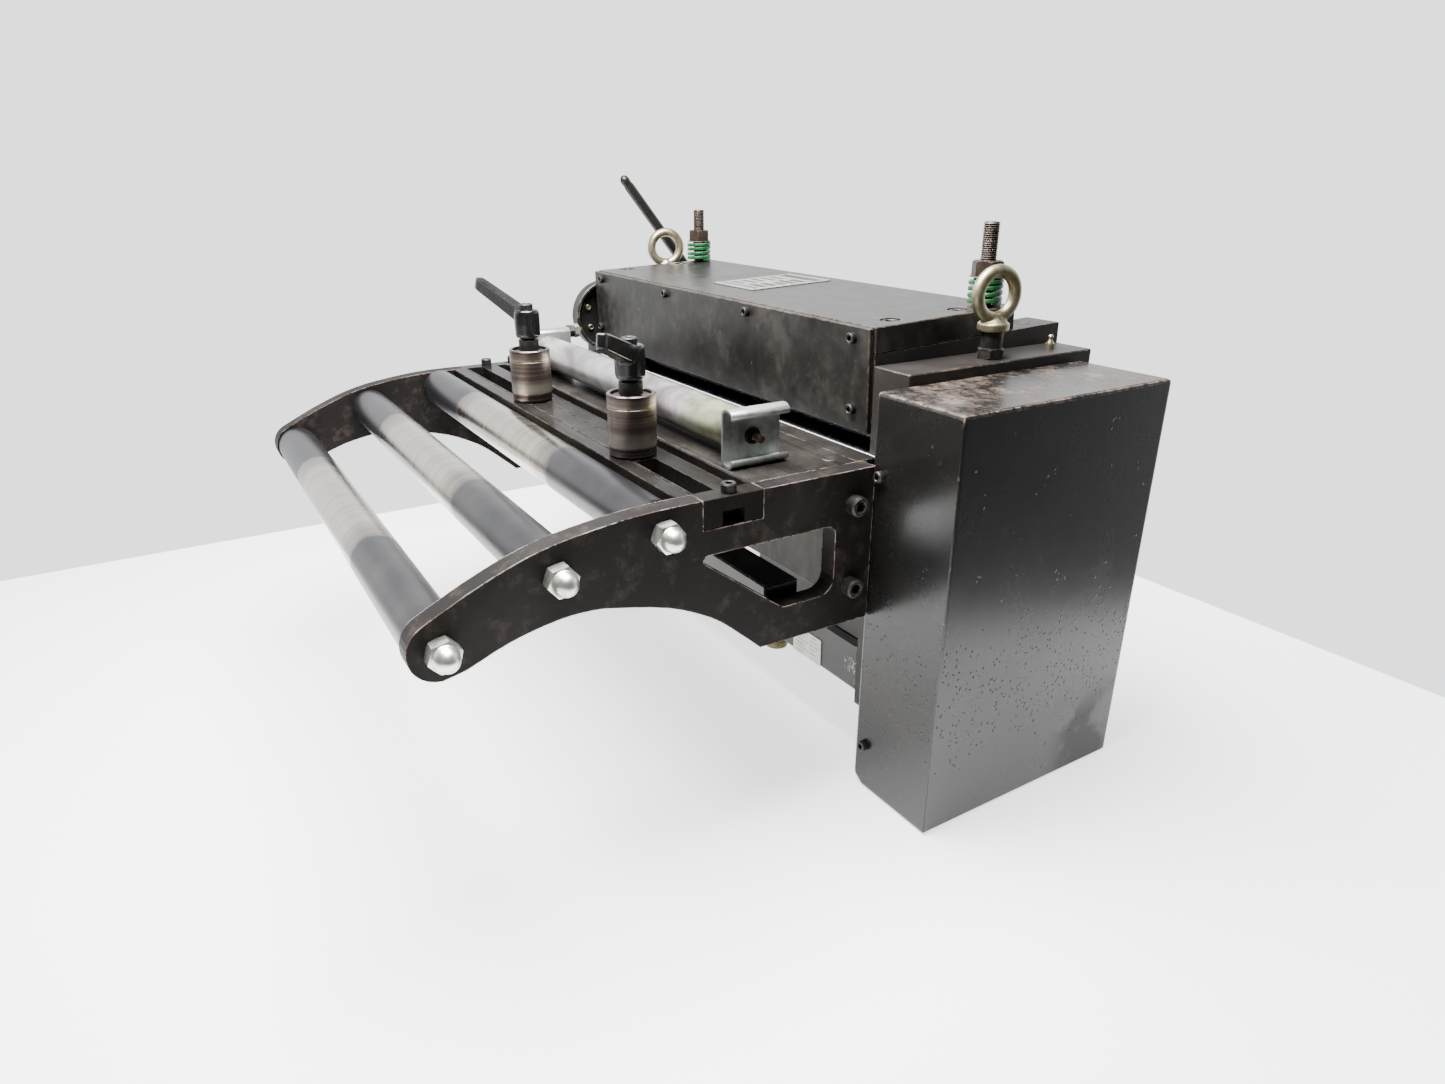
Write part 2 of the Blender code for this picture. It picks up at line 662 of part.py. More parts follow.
upper_axis = pivot("upper_roll_axis", mm(YOKE_MID_X, *untilted(*UPPER_ROLL_AXIS)), yoke)
upper = turned(
    "upper_feed_roll", (YOKE_MID_X, *untilted(*UPPER_ROLL_AXIS)), "X",
    [(0, 280), (11.6, 280), (12, 279.6), (12, 253.5), (UPPER_ROLL_R - 1, 253.5),
     (UPPER_ROLL_R, 252.5), (UPPER_ROLL_R, -252.5), (UPPER_ROLL_R - 1, -253.5), (12, -253.5),
     (12, -279.6), (11.6, -280), (0, -280)], steps=32)
finish_part(upper, "chrome_roll", upper_axis, smooth=35)

# ---------------------------------------------------------------- spring columns
def die_spring(name, x, y, low, high):
    """Rectangular wire wound into a coil between two heights."""
    wire = bpy.data.curves.new(name + "_wire", "CURVE")
    wire.dimensions = "2D"
    wire.fill_mode = "NONE"
    edge = wire.splines.new("POLY")
    edge.points.add(3)
    for point, (across, up) in zip(edge.points, ((-1, -1), (1, -1), (1, 1), (-1, 1))):
        point.co = (across * WIRE_WIDE / 2000, up * WIRE_TALL / 2000, 0.0, 1.0)
    edge.use_cyclic_u = True
    profile = bpy.data.objects.new(name + "_wire", wire)
    PARTS.objects.link(profile)
    path = bpy.data.curves.new(name, "CURVE")
    path.dimensions = "3D"
    path.twist_mode = "Z_UP"
    path.bevel_mode = "OBJECT"
    path.bevel_object = profile
    path.use_fill_caps = True
    run = path.splines.new("POLY")
    count = int(COIL_POINTS * COIL_TURNS)
    run.points.add(count)
    for i, point in enumerate(run.points):
        angle = math.tau * COIL_TURNS * i / count
        height = low + WIRE_TALL / 2 + (high - low - WIRE_TALL) * i / count
        reach = SPRING_R - WIRE_WIDE / 2
        spot = mm(x + reach * math.cos(angle), y + reach * math.sin(angle), height)
        point.co = (*spot, 1.0)
    source = bpy.data.objects.new(name + "_path", path)
    PARTS.objects.link(source)
    bpy.context.view_layer.update()
    coil = solid_from_curve(name, source)
    bpy.data.objects.remove(profile, do_unlink=True)
    bpy.data.curves.remove(wire)
    return coil


def spring_stud(side):
    """Threaded stud rising from a lug on the frame, with the nut that loads the spring."""
    x, top = STUD_X[side], STUD_TOP[side]
    nut = SPRING_Z[1] + GAP
    stud = turned(
        "spring_stud_" + side, (x, STUD_Y, 0.0), "Z",
        [(0, top), (7, top), (8, top - 1), (8, nut + 16), (8.2, nut + 16), (8.2, nut),
         (8, nut), (8, -70), (0, -70)], steps=24)
    hexagon = bar("stud_nut_" + side, (x, STUD_Y, nut), (x, STUD_Y, nut + 16), 15.5, 6)
    lug_x = (x - 20.0, FRAME_R[0] - GAP) if side == "right" else (FRAME_L[1] + GAP, x + 20.0)
    lug = box("stud_lug_" + side, lug_x, (STUD_Y - 21, STUD_Y + 21), (-90.0, -60.3), bevel=1.0)
    return finish_part(join(stud, hexagon, lug), "black_oxide", smooth=35)


for side in ("right", "left"):
    spring_stud(side)
    coil = die_spring("die_spring_" + side, STUD_X[side], STUD_Y, *SPRING_Z)
    finish_part(coil, "spring_green")

# ---------------------------------------------------------------- lifting eyes
EYE_RING_R = 21.5
EYE_WIRE_R = 6.2
for side, (x, y, turn) in (("right", (-122.0, 155.0, -7.3)), ("left", (-764.0, 157.0, -13.9))):
    seat = FRAME_Z[1]
    spacer = turned(
        "eye_spacer_" + side, (x, y, seat), "Z",
        [(6.4, 24.7), (9.6, 24.7), (9.6, 10.6), (12.4, 10.2), (13, 9.2), (13, 1), (12.4, 0.3),
         (6.4, 0.3), (6.4, 24.7)], steps=18)
    finish_part(spacer, "black_oxide", smooth=35)
    eye = turned(
        "eyebolt_" + side, (x, y, seat), "Z",
        [(0, 40), (7, 40), (11.5, 35.5), (14.2, 33.5), (14.2, 26.5), (13.4, 25), (6, 25),
         (6, 0.5), (0, 0.5)], steps=18)
    wire = arc(EYE_RING_R, 0.0, EYE_WIRE_R, 0, -360, 10)
    ring = turned("eyebolt_ring_" + side, (x, y, seat + 58.0), "X", wire, steps=24)
    ring.rotation_euler.z = math.radians(turn)
    finish_part(join(eye, ring), "yellow_zinc", smooth=40)

# ---------------------------------------------------------------- release lever and shaft
release = pivot("release_axis", mm(-446.5, *SHAFT_AXIS))
shaft = bar("release_shaft", (-795.7, *SHAFT_AXIS), (-103.0, *SHAFT_AXIS), 9.0)
cam_angle = math.radians(215)
cam_y = SHAFT_AXIS[0] + CAM_OFFSET * math.cos(cam_angle)
cam_z = SHAFT_AXIS[1] + CAM_OFFSET * math.sin(cam_angle)
for label, (x0, x1) in (("right", (-190.0, -155.0)), ("left", (-738.0, -703.0))):
    join(shaft, bar(f"release_cam_{label}", (x0, cam_y, cam_z), (x1, cam_y, cam_z), CAM_R, 32))
finish_part(shaft, "black_oxide", release, smooth=35)

LEVER_X = -803.0
LEVER_TIP = (113.0, 160.0)
hub_body = turned(
    "release_lever", (LEVER_X, *SHAFT_AXIS), "X",
    [(0, 7), (13, 7), (14, 6), (14, -9), (13, -10), (0, -10)])
rod = bar("release_rod", (LEVER_X, *SHAFT_AXIS), (LEVER_X, *LEVER_TIP), 7.2, 16)
rod_end = ball("release_rod_end", (LEVER_X, *LEVER_TIP), 7.2)
finish_part(join(hub_body, rod, rod_end), "black_oxide", release, smooth=35)

# ---------------------------------------------------------------- lower roll and drive
lower_axis = pivot("lower_roll_axis", mm(YOKE_MID_X, *LOWER_ROLL_AXIS))
lower = turned(
    "lower_feed_roll", (YOKE_MID_X, *LOWER_ROLL_AXIS), "X",
    [(0, 388), (14.5, 388), (15, 387.5), (15, 296), (LOWER_ROLL_R - 1, 296), (LOWER_ROLL_R, 295),
     (LOWER_ROLL_R, -295), (LOWER_ROLL_R - 1, -296), (15, -296), (15, -343), (14.5, -343.5),
     (0, -343.5)], steps=36)
finish_part(lower, "chrome_roll", lower_axis, smooth=35)


def roll_pulley(name, base, radius, bore, parent):
    """Belt pulley with two flanges, bored for its shaft."""
    profile = [(bore, 14), (radius + 5, 14), (radius + 5, 12.4), (radius, 12.4), (radius, -12.4),
               (radius + 5, -12.4), (radius + 5, -14), (bore, -14), (bore, 14)]
    obj = turned(name, base, "X", profile, steps=28)
    return finish_part(obj, "black_oxide", parent, smooth=35)


roll_pulley("roll_pulley", (-75.0, *LOWER_ROLL_AXIS), ROLL_PULLEY_R, 15.3, lower_axis)
motor_axis = pivot("motor_shaft_axis", mm(-75.0, *MOTOR_AXIS))
motor_pulley = turned(
    "motor_pulley", (-75.0, *MOTOR_AXIS), "X",
    [(0, 14), (MOTOR_PULLEY_R + 5, 14), (MOTOR_PULLEY_R + 5, 12.4), (MOTOR_PULLEY_R, 12.4),
     (MOTOR_PULLEY_R, -12.4), (MOTOR_PULLEY_R + 5, -12.4), (MOTOR_PULLEY_R + 5, -14), (11, -14),
     (11, -74), (0, -74)], steps=28)
finish_part(motor_pulley, "black_oxide", motor_axis, smooth=35)


def belt_outline(clearance):
    """Open-belt loop around the two pulleys at a clearance over their rims."""
    y1, z1 = LOWER_ROLL_AXIS
    y2, z2 = MOTOR_AXIS
    big, small = ROLL_PULLEY_R + clearance, MOTOR_PULLEY_R + clearance
    span = math.hypot(y2 - y1, z2 - z1)
    heading = math.degrees(math.atan2(z2 - z1, y2 - y1))
    lean = math.degrees(math.acos((big - small) / span))
    upper = arc(y1, z1, big, heading + lean, heading + 360 - lean, 16)
    return upper + arc(y2, z2, small, heading - lean, heading + lean, 10)


belt = plate("drive_belt", [belt_outline(3.9), belt_outline(0.4)], (-86.5, -63.5))
finish_part(belt, "rubber_black", smooth=35)

motor = box("motor_body", (-345.0, -149.5), (MOTOR_AXIS[0] - MOTOR_HALF, MOTOR_AXIS[0] + MOTOR_HALF),
            (MOTOR_AXIS[1] - MOTOR_HALF, MOTOR_AXIS[1] + MOTOR_HALF), bevel=5.0)
cut(motor, bar("motor_shaft_bore", (-151.0, *MOTOR_AXIS), (-140.0, *MOTOR_AXIS), 12.0))
finish_part(motor, "motor_grey")
mount = box("motor_mount_plate", (-345.0, -149.3), (46.8, 60.0), (-278.2, -150.0), bevel=1.0)
finish_part(mount, "frame_paint")
finish_part(box("motor_plate", (-262.0, -212.0), (39.2, 40.2), (-334.0, -302.0)), "plate_silver")
connector = turned(
    "motor_connector", (-318.0, 56.0, -337.8), "Z",
    [(0, 0), (11.5, 0), (11.5, -6), (13.5, -7), (13.5, -20), (12.5, -21.5), (0, -21.5)], steps=28)
finish_part(connector, "olive_plating", smooth=35)

# ---------------------------------------------------------------- belt guard
GUARD_X = (-101.7, 0.0)
GUARD_Y = (0.0, 259.0)
GUARD_Z = (-397.0, 0.0)
WALL = 3.0
BEND_IN = 12.0
BEND_UP = 8.0


def guard_section(inset, reach):
    """Guard section seen from the front, with the bottom inner corner bent up."""
    x0, x1 = GUARD_X[0], GUARD_X[1] - inset
    z0, z1 = GUARD_Z[0], GUARD_Z[1] - inset
    slope = BEND_UP / BEND_IN
    rise = inset * math.hypot(1.0, slope)
    foot_x = x0 + (BEND_UP + rise - inset) / slope
    return [(x0 - reach, z1), (x1, z1), (x1, z0 + inset), (foot_x, z0 + inset),
            (x0 - reach, z0 + BEND_UP + rise + slope * reach)]


guard = plate("belt_guard", [guard_section(0.0, 0.0)], GUARD_Y, across="Y")
add_bevel(guard, 3.0, 2)
room_y = (GUARD_Y[0] + WALL, GUARD_Y[1] - WALL)
guard_room = plate("guard_room", [guard_section(WALL, 6.0)], room_y, across="Y")
cut(guard, guard_room)
finish_part(guard, "black_paint")

cap_screw("guard_screw_upper", (-90.0, 0.0, -73.0), "-Y", 5.0, 6.0, "black_oxide")
cap_screw("guard_screw_lower", (-88.0, 0.0, -349.0), "-Y", 5.0, 6.0, "black_oxide")
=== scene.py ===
"""Looks of the servo roll feeder: worn machine paint, ground rolls, zinc hardware and fasteners.

Lengths are millimetres in the machine datum, which is the belt guard's outer, front, top corner:
X runs along the roll axes, Y in the feed direction and Z up. at() turns them into the frame.
"""
import math

import bmesh
import bpy
from mathutils import Matrix, Vector


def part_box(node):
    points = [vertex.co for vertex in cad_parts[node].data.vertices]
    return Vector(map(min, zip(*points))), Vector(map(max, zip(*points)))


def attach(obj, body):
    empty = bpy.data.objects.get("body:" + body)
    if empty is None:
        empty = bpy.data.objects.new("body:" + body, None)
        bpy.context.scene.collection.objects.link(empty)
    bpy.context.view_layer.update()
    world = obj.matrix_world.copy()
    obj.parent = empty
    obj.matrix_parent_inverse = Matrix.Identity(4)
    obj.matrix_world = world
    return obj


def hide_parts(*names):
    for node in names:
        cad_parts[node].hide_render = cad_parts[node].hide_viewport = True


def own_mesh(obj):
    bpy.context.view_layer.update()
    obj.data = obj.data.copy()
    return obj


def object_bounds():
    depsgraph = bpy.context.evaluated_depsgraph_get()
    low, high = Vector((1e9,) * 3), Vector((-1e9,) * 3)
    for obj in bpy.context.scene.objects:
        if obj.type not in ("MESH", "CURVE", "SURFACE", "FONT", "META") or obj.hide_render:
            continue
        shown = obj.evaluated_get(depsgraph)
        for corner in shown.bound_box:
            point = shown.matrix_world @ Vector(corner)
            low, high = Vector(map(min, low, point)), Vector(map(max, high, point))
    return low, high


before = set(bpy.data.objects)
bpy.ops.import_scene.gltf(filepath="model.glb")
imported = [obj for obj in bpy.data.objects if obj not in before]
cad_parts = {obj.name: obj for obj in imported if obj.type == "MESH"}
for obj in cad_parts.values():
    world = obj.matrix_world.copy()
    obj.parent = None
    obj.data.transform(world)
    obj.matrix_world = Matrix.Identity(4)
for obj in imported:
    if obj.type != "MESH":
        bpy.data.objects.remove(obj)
CAD_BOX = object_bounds()

guard_low, guard_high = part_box("belt_guard")
DATUM = Vector((guard_high[0], guard_low[1], guard_high[2]))
# Camera as it was solved from the photograph.
CAMERA_SPOT = (483.6, -518.7, 175.4)
CAMERA_LENS = 22.84
CAMERA_HEADING = math.radians(58.18)
CAMERA_DIP = math.radians(22.16)
# Strength of the room's walls (dimmest, brightest) and ceiling, and the floor's outline and own light.
WALL_LIGHT = (0.0, 2.1)
CEILING_LIGHT = 0.10
FLOOR_CORNERS = ((-1150.0, -1700.0), (1135.0, -1700.0), (155.0, 686.0), (-1150.0, 686.0))
FLOOR_GLOW = 1.75
# Where the machine's parts lie. MOTOR_SHAFT and ENTRY_ROLLERS are (Y, Z), BELT_EDGES and WORN_BAND are X.
TABLE_Z = -65.0
YOKE_PIVOT = (0.0, 50.0, -20.0)
YOKE_TILT = math.radians(2.2)
ROLLS_X = -446.5
ROLLS_Y = 97.0
UPPER_ROLL_Z = -27.0
LOWER_ROLL_Z = -110.0
MOTOR_SHAFT = (70.0, -308.0)
BELT_EDGES = (-87.2, -62.8)
ENTRY_ROLLERS = ((-389.0, -135.5), (-299.5, -100.5), (-211.0, -85.5))
WORN_BAND = (-556.0, -289.0)

# Thickness of printing.
INK = 0.12


def at(x, y, z):
    """Point of the datum, in millimetres, as a point of the frame in metres."""
    return DATUM + Vector((x, y, z)) / 1000


def span_of(node, axis=0):
    """Where a CAD node starts and ends along an axis of the datum, millimetres."""
    low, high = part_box(node)
    return (low[axis] - DATUM[axis]) * 1000, (high[axis] - DATUM[axis]) * 1000


def centre_of(node):
    """Middle of a CAD node in the datum, millimetres."""
    low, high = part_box(node)
    return ((Vector(low) + Vector(high)) / 2 - DATUM) * 1000


# ---------------------------------------------------------------- camera, light and floor
def build_stage():
    cam = bpy.data.cameras.new("camera")
    cam.sensor_width = 36.0
    cam.lens = CAMERA_LENS
    view = bpy.data.objects.new("camera", cam)
    bpy.context.scene.collection.objects.link(view)
    view.location = at(*CAMERA_SPOT)
    level = math.cos(CAMERA_DIP)
    ahead = (-math.sin(CAMERA_HEADING) * level, math.cos(CAMERA_HEADING) * level, -math.sin(CAMERA_DIP))
    view.rotation_euler = Vector(ahead).to_track_quat("-Z", "Y").to_euler()
    bpy.context.scene.camera = view

    build_world()
    for name, spot, size, power in (
        ("top_light", (-330.0, -220.0, 800.0), 0.8, 105.0),
        ("fill_light", (-1300.0, -1300.0, 600.0), 1.2, 6.0),
    ):
        lamp = bpy.data.lights.new(name, "AREA")
        lamp.shape = "SQUARE"
        lamp.size = size
        lamp.energy = power
        holder = bpy.data.objects.new(name, lamp)
        bpy.context.scene.collection.objects.link(holder)
        holder.location = at(*spot)
        aim = at(-400.0, -60.0, -200.0) - holder.location
        holder.rotation_euler = aim.to_track_quat("-Z", "Y").to_euler()

    bm = bmesh.new()
    level = CAD_BOX[0][2] - 0.0005
    corners = [at(x, y, 0.0) for x, y in FLOOR_CORNERS]
    bm.faces.new([bm.verts.new((spot.x, spot.y, level)) for spot in corners])
    floor_mesh = bpy.data.meshes.new("floor")
    bm.to_mesh(floor_mesh)
    bm.free()
    floor = bpy.data.objects.new("floor", floor_mesh)
    bpy.context.scene.collection.objects.link(floor)
    look_floor = Look("floor_white", (0.88, 0.88, 0.87), rough=0.6)
    look_floor.tint([(0.0, (0.86, 0.86, 0.85)), (1.0, (0.90, 0.90, 0.89))], look_floor.noise(3.0))
    look_floor.shader.inputs["Emission Color"].default_value = (1.0, 1.0, 1.0, 1.0)
    look_floor.shader.inputs["Emission Strength"].default_value = FLOOR_GLOW
    floor_mesh.materials.append(look_floor.mat)


def build_world():
    """Pale room: bright walls behind the machine, dim on the side it is looked at from."""
    world = bpy.data.worlds.new("studio")
    world.use_nodes = True
    bpy.context.scene.world = world
    tree = world.node_tree
    sky = tree.nodes["Background"]
    toward = tree.nodes.new("ShaderNodeTexCoord").outputs["Generated"]
    side = tree.nodes.new("ShaderNodeVectorMath")
    side.operation = "DOT_PRODUCT"
    side.inputs[1].default_value = (-0.84, 0.54, 0.06)
    tree.links.new(toward, side.inputs[0])
    height = tree.nodes.new("ShaderNodeSeparateXYZ")
    tree.links.new(toward, height.inputs[0])

    def ramp(value, span, reach):
        level = tree.nodes.new("ShaderNodeMapRange")
        level.interpolation_type = "SMOOTHSTEP"
        for socket, number in zip(("From Min", "From Max", "To Min", "To Max"), (*span, *reach)):
            level.inputs[socket].default_value = number
        tree.links.new(value, level.inputs["Value"])
        return level.outputs["Result"]

    wall = ramp(side.outputs["Value"], (-0.35, 0.75), WALL_LIGHT)
    low = ramp(height.outputs["Z"], (0.34, 0.70), (1.0, 0.0))
    glow = tree.nodes.new("ShaderNodeMath")
    glow.operation = "MULTIPLY_ADD"
    tree.links.new(wall, glow.inputs[0])
    tree.links.new(low, glow.inputs[1])
    glow.inputs[2].default_value = CEILING_LIGHT
    sky.inputs["Color"].default_value = (0.97, 0.985, 1.0, 1.0)
    tree.links.new(glow.outputs[0], sky.inputs["Strength"])


# ---------------------------------------------------------------- materials
class Look:
    """A Principled material with the few texture nodes that drive it, in metres of the frame."""

    def __init__(self, name, base, rough, metal=0.0, specular=0.5):
        self.mat = bpy.data.materials.new(name)
        self.mat.use_nodes = True
        self.tree = self.mat.node_tree
        self.shader = self.tree.nodes["Principled BSDF"]
        self.shader.inputs["Base Color"].default_value = (*base, 1.0)
        self.shader.inputs["Roughness"].default_value = rough
        self.shader.inputs["Metallic"].default_value = metal
        self.shader.inputs["Specular IOR Level"].default_value = specular
        self.mat.diffuse_color = (*base, 1.0)
        self.coords = self.node("ShaderNodeTexCoord").outputs["Object"]
        self.normal = None

    def node(self, kind, **settings):
        new = self.tree.nodes.new(kind)
        for key, value in settings.items():
            setattr(new, key, value)
        return new

    def feed(self, socket, value):
        if isinstance(value, bpy.types.NodeSocket):
            self.tree.links.new(value, socket)
        else:
            socket.default_value = value

    def noise(self, scale, detail=4.0, rough=0.55, stretch=(1, 1, 1), distort=0.0, shift=0.0):
        place = self.node("ShaderNodeMapping")
        self.feed(place.inputs["Vector"], self.coords)
        place.inputs["Scale"].default_value = stretch
        place.inputs["Location"].default_value = (shift, shift * 0.7, shift * 1.3)
        tex = self.node("ShaderNodeTexNoise")
        self.feed(tex.inputs["Vector"], place.outputs["Vector"])
        tex.inputs["Scale"].default_value = scale
        tex.inputs["Detail"].default_value = detail
        tex.inputs["Roughness"].default_value = rough
        tex.inputs["Distortion"].default_value = distort
        return tex.outputs["Fac"]

    def cells(self, scale):
        """Distance to the nearest of many scattered points, in cells."""
        tex = self.node("ShaderNodeTexVoronoi", feature="F1")
        self.feed(tex.inputs["Vector"], self.coords)
        tex.inputs["Scale"].default_value = scale
        return tex.outputs["Distance"]

    def axis(self, letter):
        """Distance along a frame axis in the machine datum, millimetres."""
        split = self.node("ShaderNodeSeparateXYZ")
        self.feed(split.inputs[0], self.coords)
        start = "XYZ".index(letter)
        moved = self.math("SUBTRACT", split.outputs[start], DATUM[start])
        return self.times(moved, 1000.0)

    def math(self, how, a, b):
        new = self.node("ShaderNodeMath", operation=how)
        self.feed(new.inputs[0], a)
        self.feed(new.inputs[1], b)
        return new.outputs[0]

    def times(self, a, b):
        return self.math("MULTIPLY", a, b)

    def step(self, value, low, high):
        """Smooth 0 to 1 as value goes from low to high."""
        new = self.node("ShaderNodeMapRange", interpolation_type="SMOOTHSTEP")
        self.feed(new.inputs["Value"], value)
        if low < high:
            new.inputs["From Min"].default_value = low
            new.inputs["From Max"].default_value = high
            return new.outputs["Result"]
        new.inputs["From Min"].default_value = high
        new.inputs["From Max"].default_value = low
        return self.math("SUBTRACT", 1.0, new.outputs["Result"])

    def between(self, value, low, high, soft):
        rise = self.step(value, low - soft, low + soft)
        fall = self.step(value, high + soft, high - soft)
        return self.times(rise, fall)

    def spread(self, value, low, high):
        """Maps a 0 to 1 value onto a range."""
        scaled = self.times(value, high - low)
        return self.math("ADD", scaled, low)

    def mix(self, factor, a, b):
        new = self.node("ShaderNodeMix", data_type="RGBA")
        self.feed(new.inputs[0], factor)
        for socket, value in ((new.inputs[6], a), (new.inputs[7], b)):
            if isinstance(value, bpy.types.NodeSocket):
                self.tree.links.new(value, socket)
            else:
                socket.default_value = (*value, 1.0)
        return new.outputs[2]

    def over(self, under, color, mask, share):
        """Lays a colour over another through a mask, at most that share of it."""
        return self.mix(self.times(mask, share), under, color)

    def blend(self, factor, a, b):
        """Plain number mix."""
        new = self.node("ShaderNodeMix", data_type="FLOAT")
        self.feed(new.inputs[0], factor)
        self.feed(new.inputs[2], a)
        self.feed(new.inputs[3], b)
        return new.outputs[0]

    def ramp(self, stops, value):
        new = self.node("ShaderNodeValToRGB")
        self.feed(new.inputs["Fac"], value)
        line = new.color_ramp
        while len(line.elements) < len(stops):
            line.elements.new(0.5)
        for element, (place, color) in zip(line.elements, stops):
            element.position = place
            element.color = (*color, 1.0)
        return new.outputs["Color"]

    def edges(self, reach):
        """1 on convex edges within reach millimetres, 0 on open faces."""
        soft = self.node("ShaderNodeBevel", samples=4)
        soft.inputs["Radius"].default_value = reach / 1000
        flat = self.node("ShaderNodeNewGeometry")
        dot = self.node("ShaderNodeVectorMath", operation="DOT_PRODUCT")
        self.feed(dot.inputs[0], soft.outputs[0])
        self.feed(dot.inputs[1], flat.outputs["Normal"])
        return self.step(dot.outputs["Value"], 0.985, 0.88)

    def ridges(self, low, high):
        """1 where a dense mesh turns outward."""
        shape = self.node("ShaderNodeNewGeometry")
        return self.step(shape.outputs["Pointiness"], low, high)

    def color(self, value):
        self.feed(self.shader.inputs["Base Color"], value)

    def tint(self, stops, value):
        self.color(self.ramp(stops, value))

    def rough(self, value):
        self.feed(self.shader.inputs["Roughness"], value)

    def metal(self, value):
        self.feed(self.shader.inputs["Metallic"], value)

    def bump(self, height, depth):
        """Relief of that many millimetres at height 1."""
        new = self.node("ShaderNodeBump")
        new.inputs["Distance"].default_value = depth / 1000
        self.feed(new.inputs["Height"], height)
        if self.normal is not None:
            self.feed(new.inputs["Normal"], self.normal)
        self.normal = new.outputs["Normal"]
        self.feed(self.shader.inputs["Normal"], self.normal)


def painted(name, tone, rough, chips, bare=(0.42, 0.35, 0.30), reach=1.6, shine=0.5, dust=0.0):
    """Machine enamel: slight tone drift, orange peel, bare metal where edges have been knocked."""
    look = Look(name, tone, rough, specular=shine)
    drift = look.noise(9.0, 5.0)
    lighter = tuple(min(1.0, c * 1.5 + 0.006) for c in tone)
    darker = tuple(c * 0.72 for c in tone)
    paint = look.ramp([(0.30, darker), (0.52, tone), (0.75, lighter)], drift)
    specks = look.step(look.noise(330.0, 3.0, 0.7), 0.735, 0.77)
    paint = look.over(paint, (0.26, 0.17, 0.12), specks, 0.55)
    film = look.step(look.noise(48.0, 8.0, 0.72, shift=7.0), 0.50, 0.68)
    paint = look.over(paint, (0.075, 0.055, 0.043), film, dust)
    knocks = look.noise(120.0, 6.0, 0.7, shift=3.0)
    worn = look.times(look.edges(reach), look.step(knocks, 0.60 - 0.22 * chips, 0.66 - 0.16 * chips))
    rust = look.noise(45.0, 4.0)
    metal = look.mix(look.step(rust, 0.45, 0.62), bare, (0.20, 0.11, 0.07))
    look.color(look.mix(worn, paint, metal))
    look.metal(look.times(worn, 0.55))
    gloss = look.spread(look.noise(22.0, 6.0, 0.6, shift=5.0), rough - 0.10, rough + 0.14)
    look.rough(look.blend(worn, gloss, 0.5))
    look.bump(look.noise(420.0, 2.0, 0.5), 0.05)
    look.bump(worn, -0.05)
    return look


def pitted_look():
    """Grey plate with fine upright lines, stains, rust pits and slightly bright edges."""
    dark, middle, light = (0.016, 0.014, 0.012), (0.027, 0.024, 0.021), (0.048, 0.043, 0.038)
    upright = (1.0, 1.0, 0.3)
    look = Look("grey_pitted_plate", middle, 0.5, 0.35, specular=0.18)
    skin = look.ramp([(0.28, dark), (0.50, middle), (0.74, light)], look.noise(14.0, 6.0, 0.6))
    lines = look.noise(90.0, 5.0, 0.65, stretch=upright, shift=2.0)
    skin = look.over(skin, light, look.step(lines, 0.42, 0.66), 0.45)
    spots = look.step(look.noise(60.0, 5.0, 0.7, shift=8.0), 0.684, 0.758)
    skin = look.over(skin, (0.13, 0.075, 0.045), spots, 0.7)
    bright = look.times(look.edges(1.2), look.step(look.noise(80.0, 4.0, shift=4.0), 0.38, 0.5))
    look.color(look.over(skin, (0.62, 0.58, 0.54), bright, 0.3))
    look.rough(look.spread(look.noise(45.0, 6.0, 0.6, stretch=upright, shift=6.0), 0.38, 0.66))
    look.bump(lines, 0.04)
    return look


def plated(name, tones, rough, stain, stain_tone=(0.16, 0.13, 0.09)):
    """Zinc or chromate plating: mottled, slightly dulled, with dirt in patches."""
    look = Look(name, tones[1], rough, 0.9)
    cloud = look.noise(70.0, 5.0, 0.6)
    skin = look.ramp([(0.30, tones[0]), (0.50, tones[1]), (0.72, tones[2])], cloud)
    dirt = look.step(look.noise(28.0, 6.0, 0.7, shift=9.0), 0.62 - 0.14 * stain, 0.82 - 0.14 * stain)
    look.color(look.over(skin, stain_tone, dirt, 0.75))
    look.metal(look.spread(dirt, 0.92, 0.45))
    look.rough(look.spread(look.noise(120.0, 5.0, 0.6, shift=3.0), rough - 0.06, rough + 0.18))
    look.bump(look.noise(520.0, 3.0), 0.03)
    return look


def rubbed(name, tone, rough=0.45, bright=0.4):
    """Black oxide hardware, rubbed to brown and steel on its corners."""
    look = Look(name, tone, rough, 0.6)
    deep = tuple(c * 0.6 for c in tone)
    cloud = look.noise(110.0, 5.0, 0.6)
    skin = look.ramp([(0.32, deep), (0.55, tone), (0.8, (0.060, 0.046, 0.038))], cloud)
    worn = look.times(look.edges(0.7), look.step(look.noise(300.0, 3.0, shift=4.0), 0.42, 0.55))
    look.color(look.over(skin, (0.55, 0.50, 0.46), worn, bright))
    look.rough(look.spread(look.noise(160.0, 4.0, shift=2.0), rough - 0.12, rough + 0.18))
    look.bump(look.noise(700.0, 2.0), 0.03)
    return look


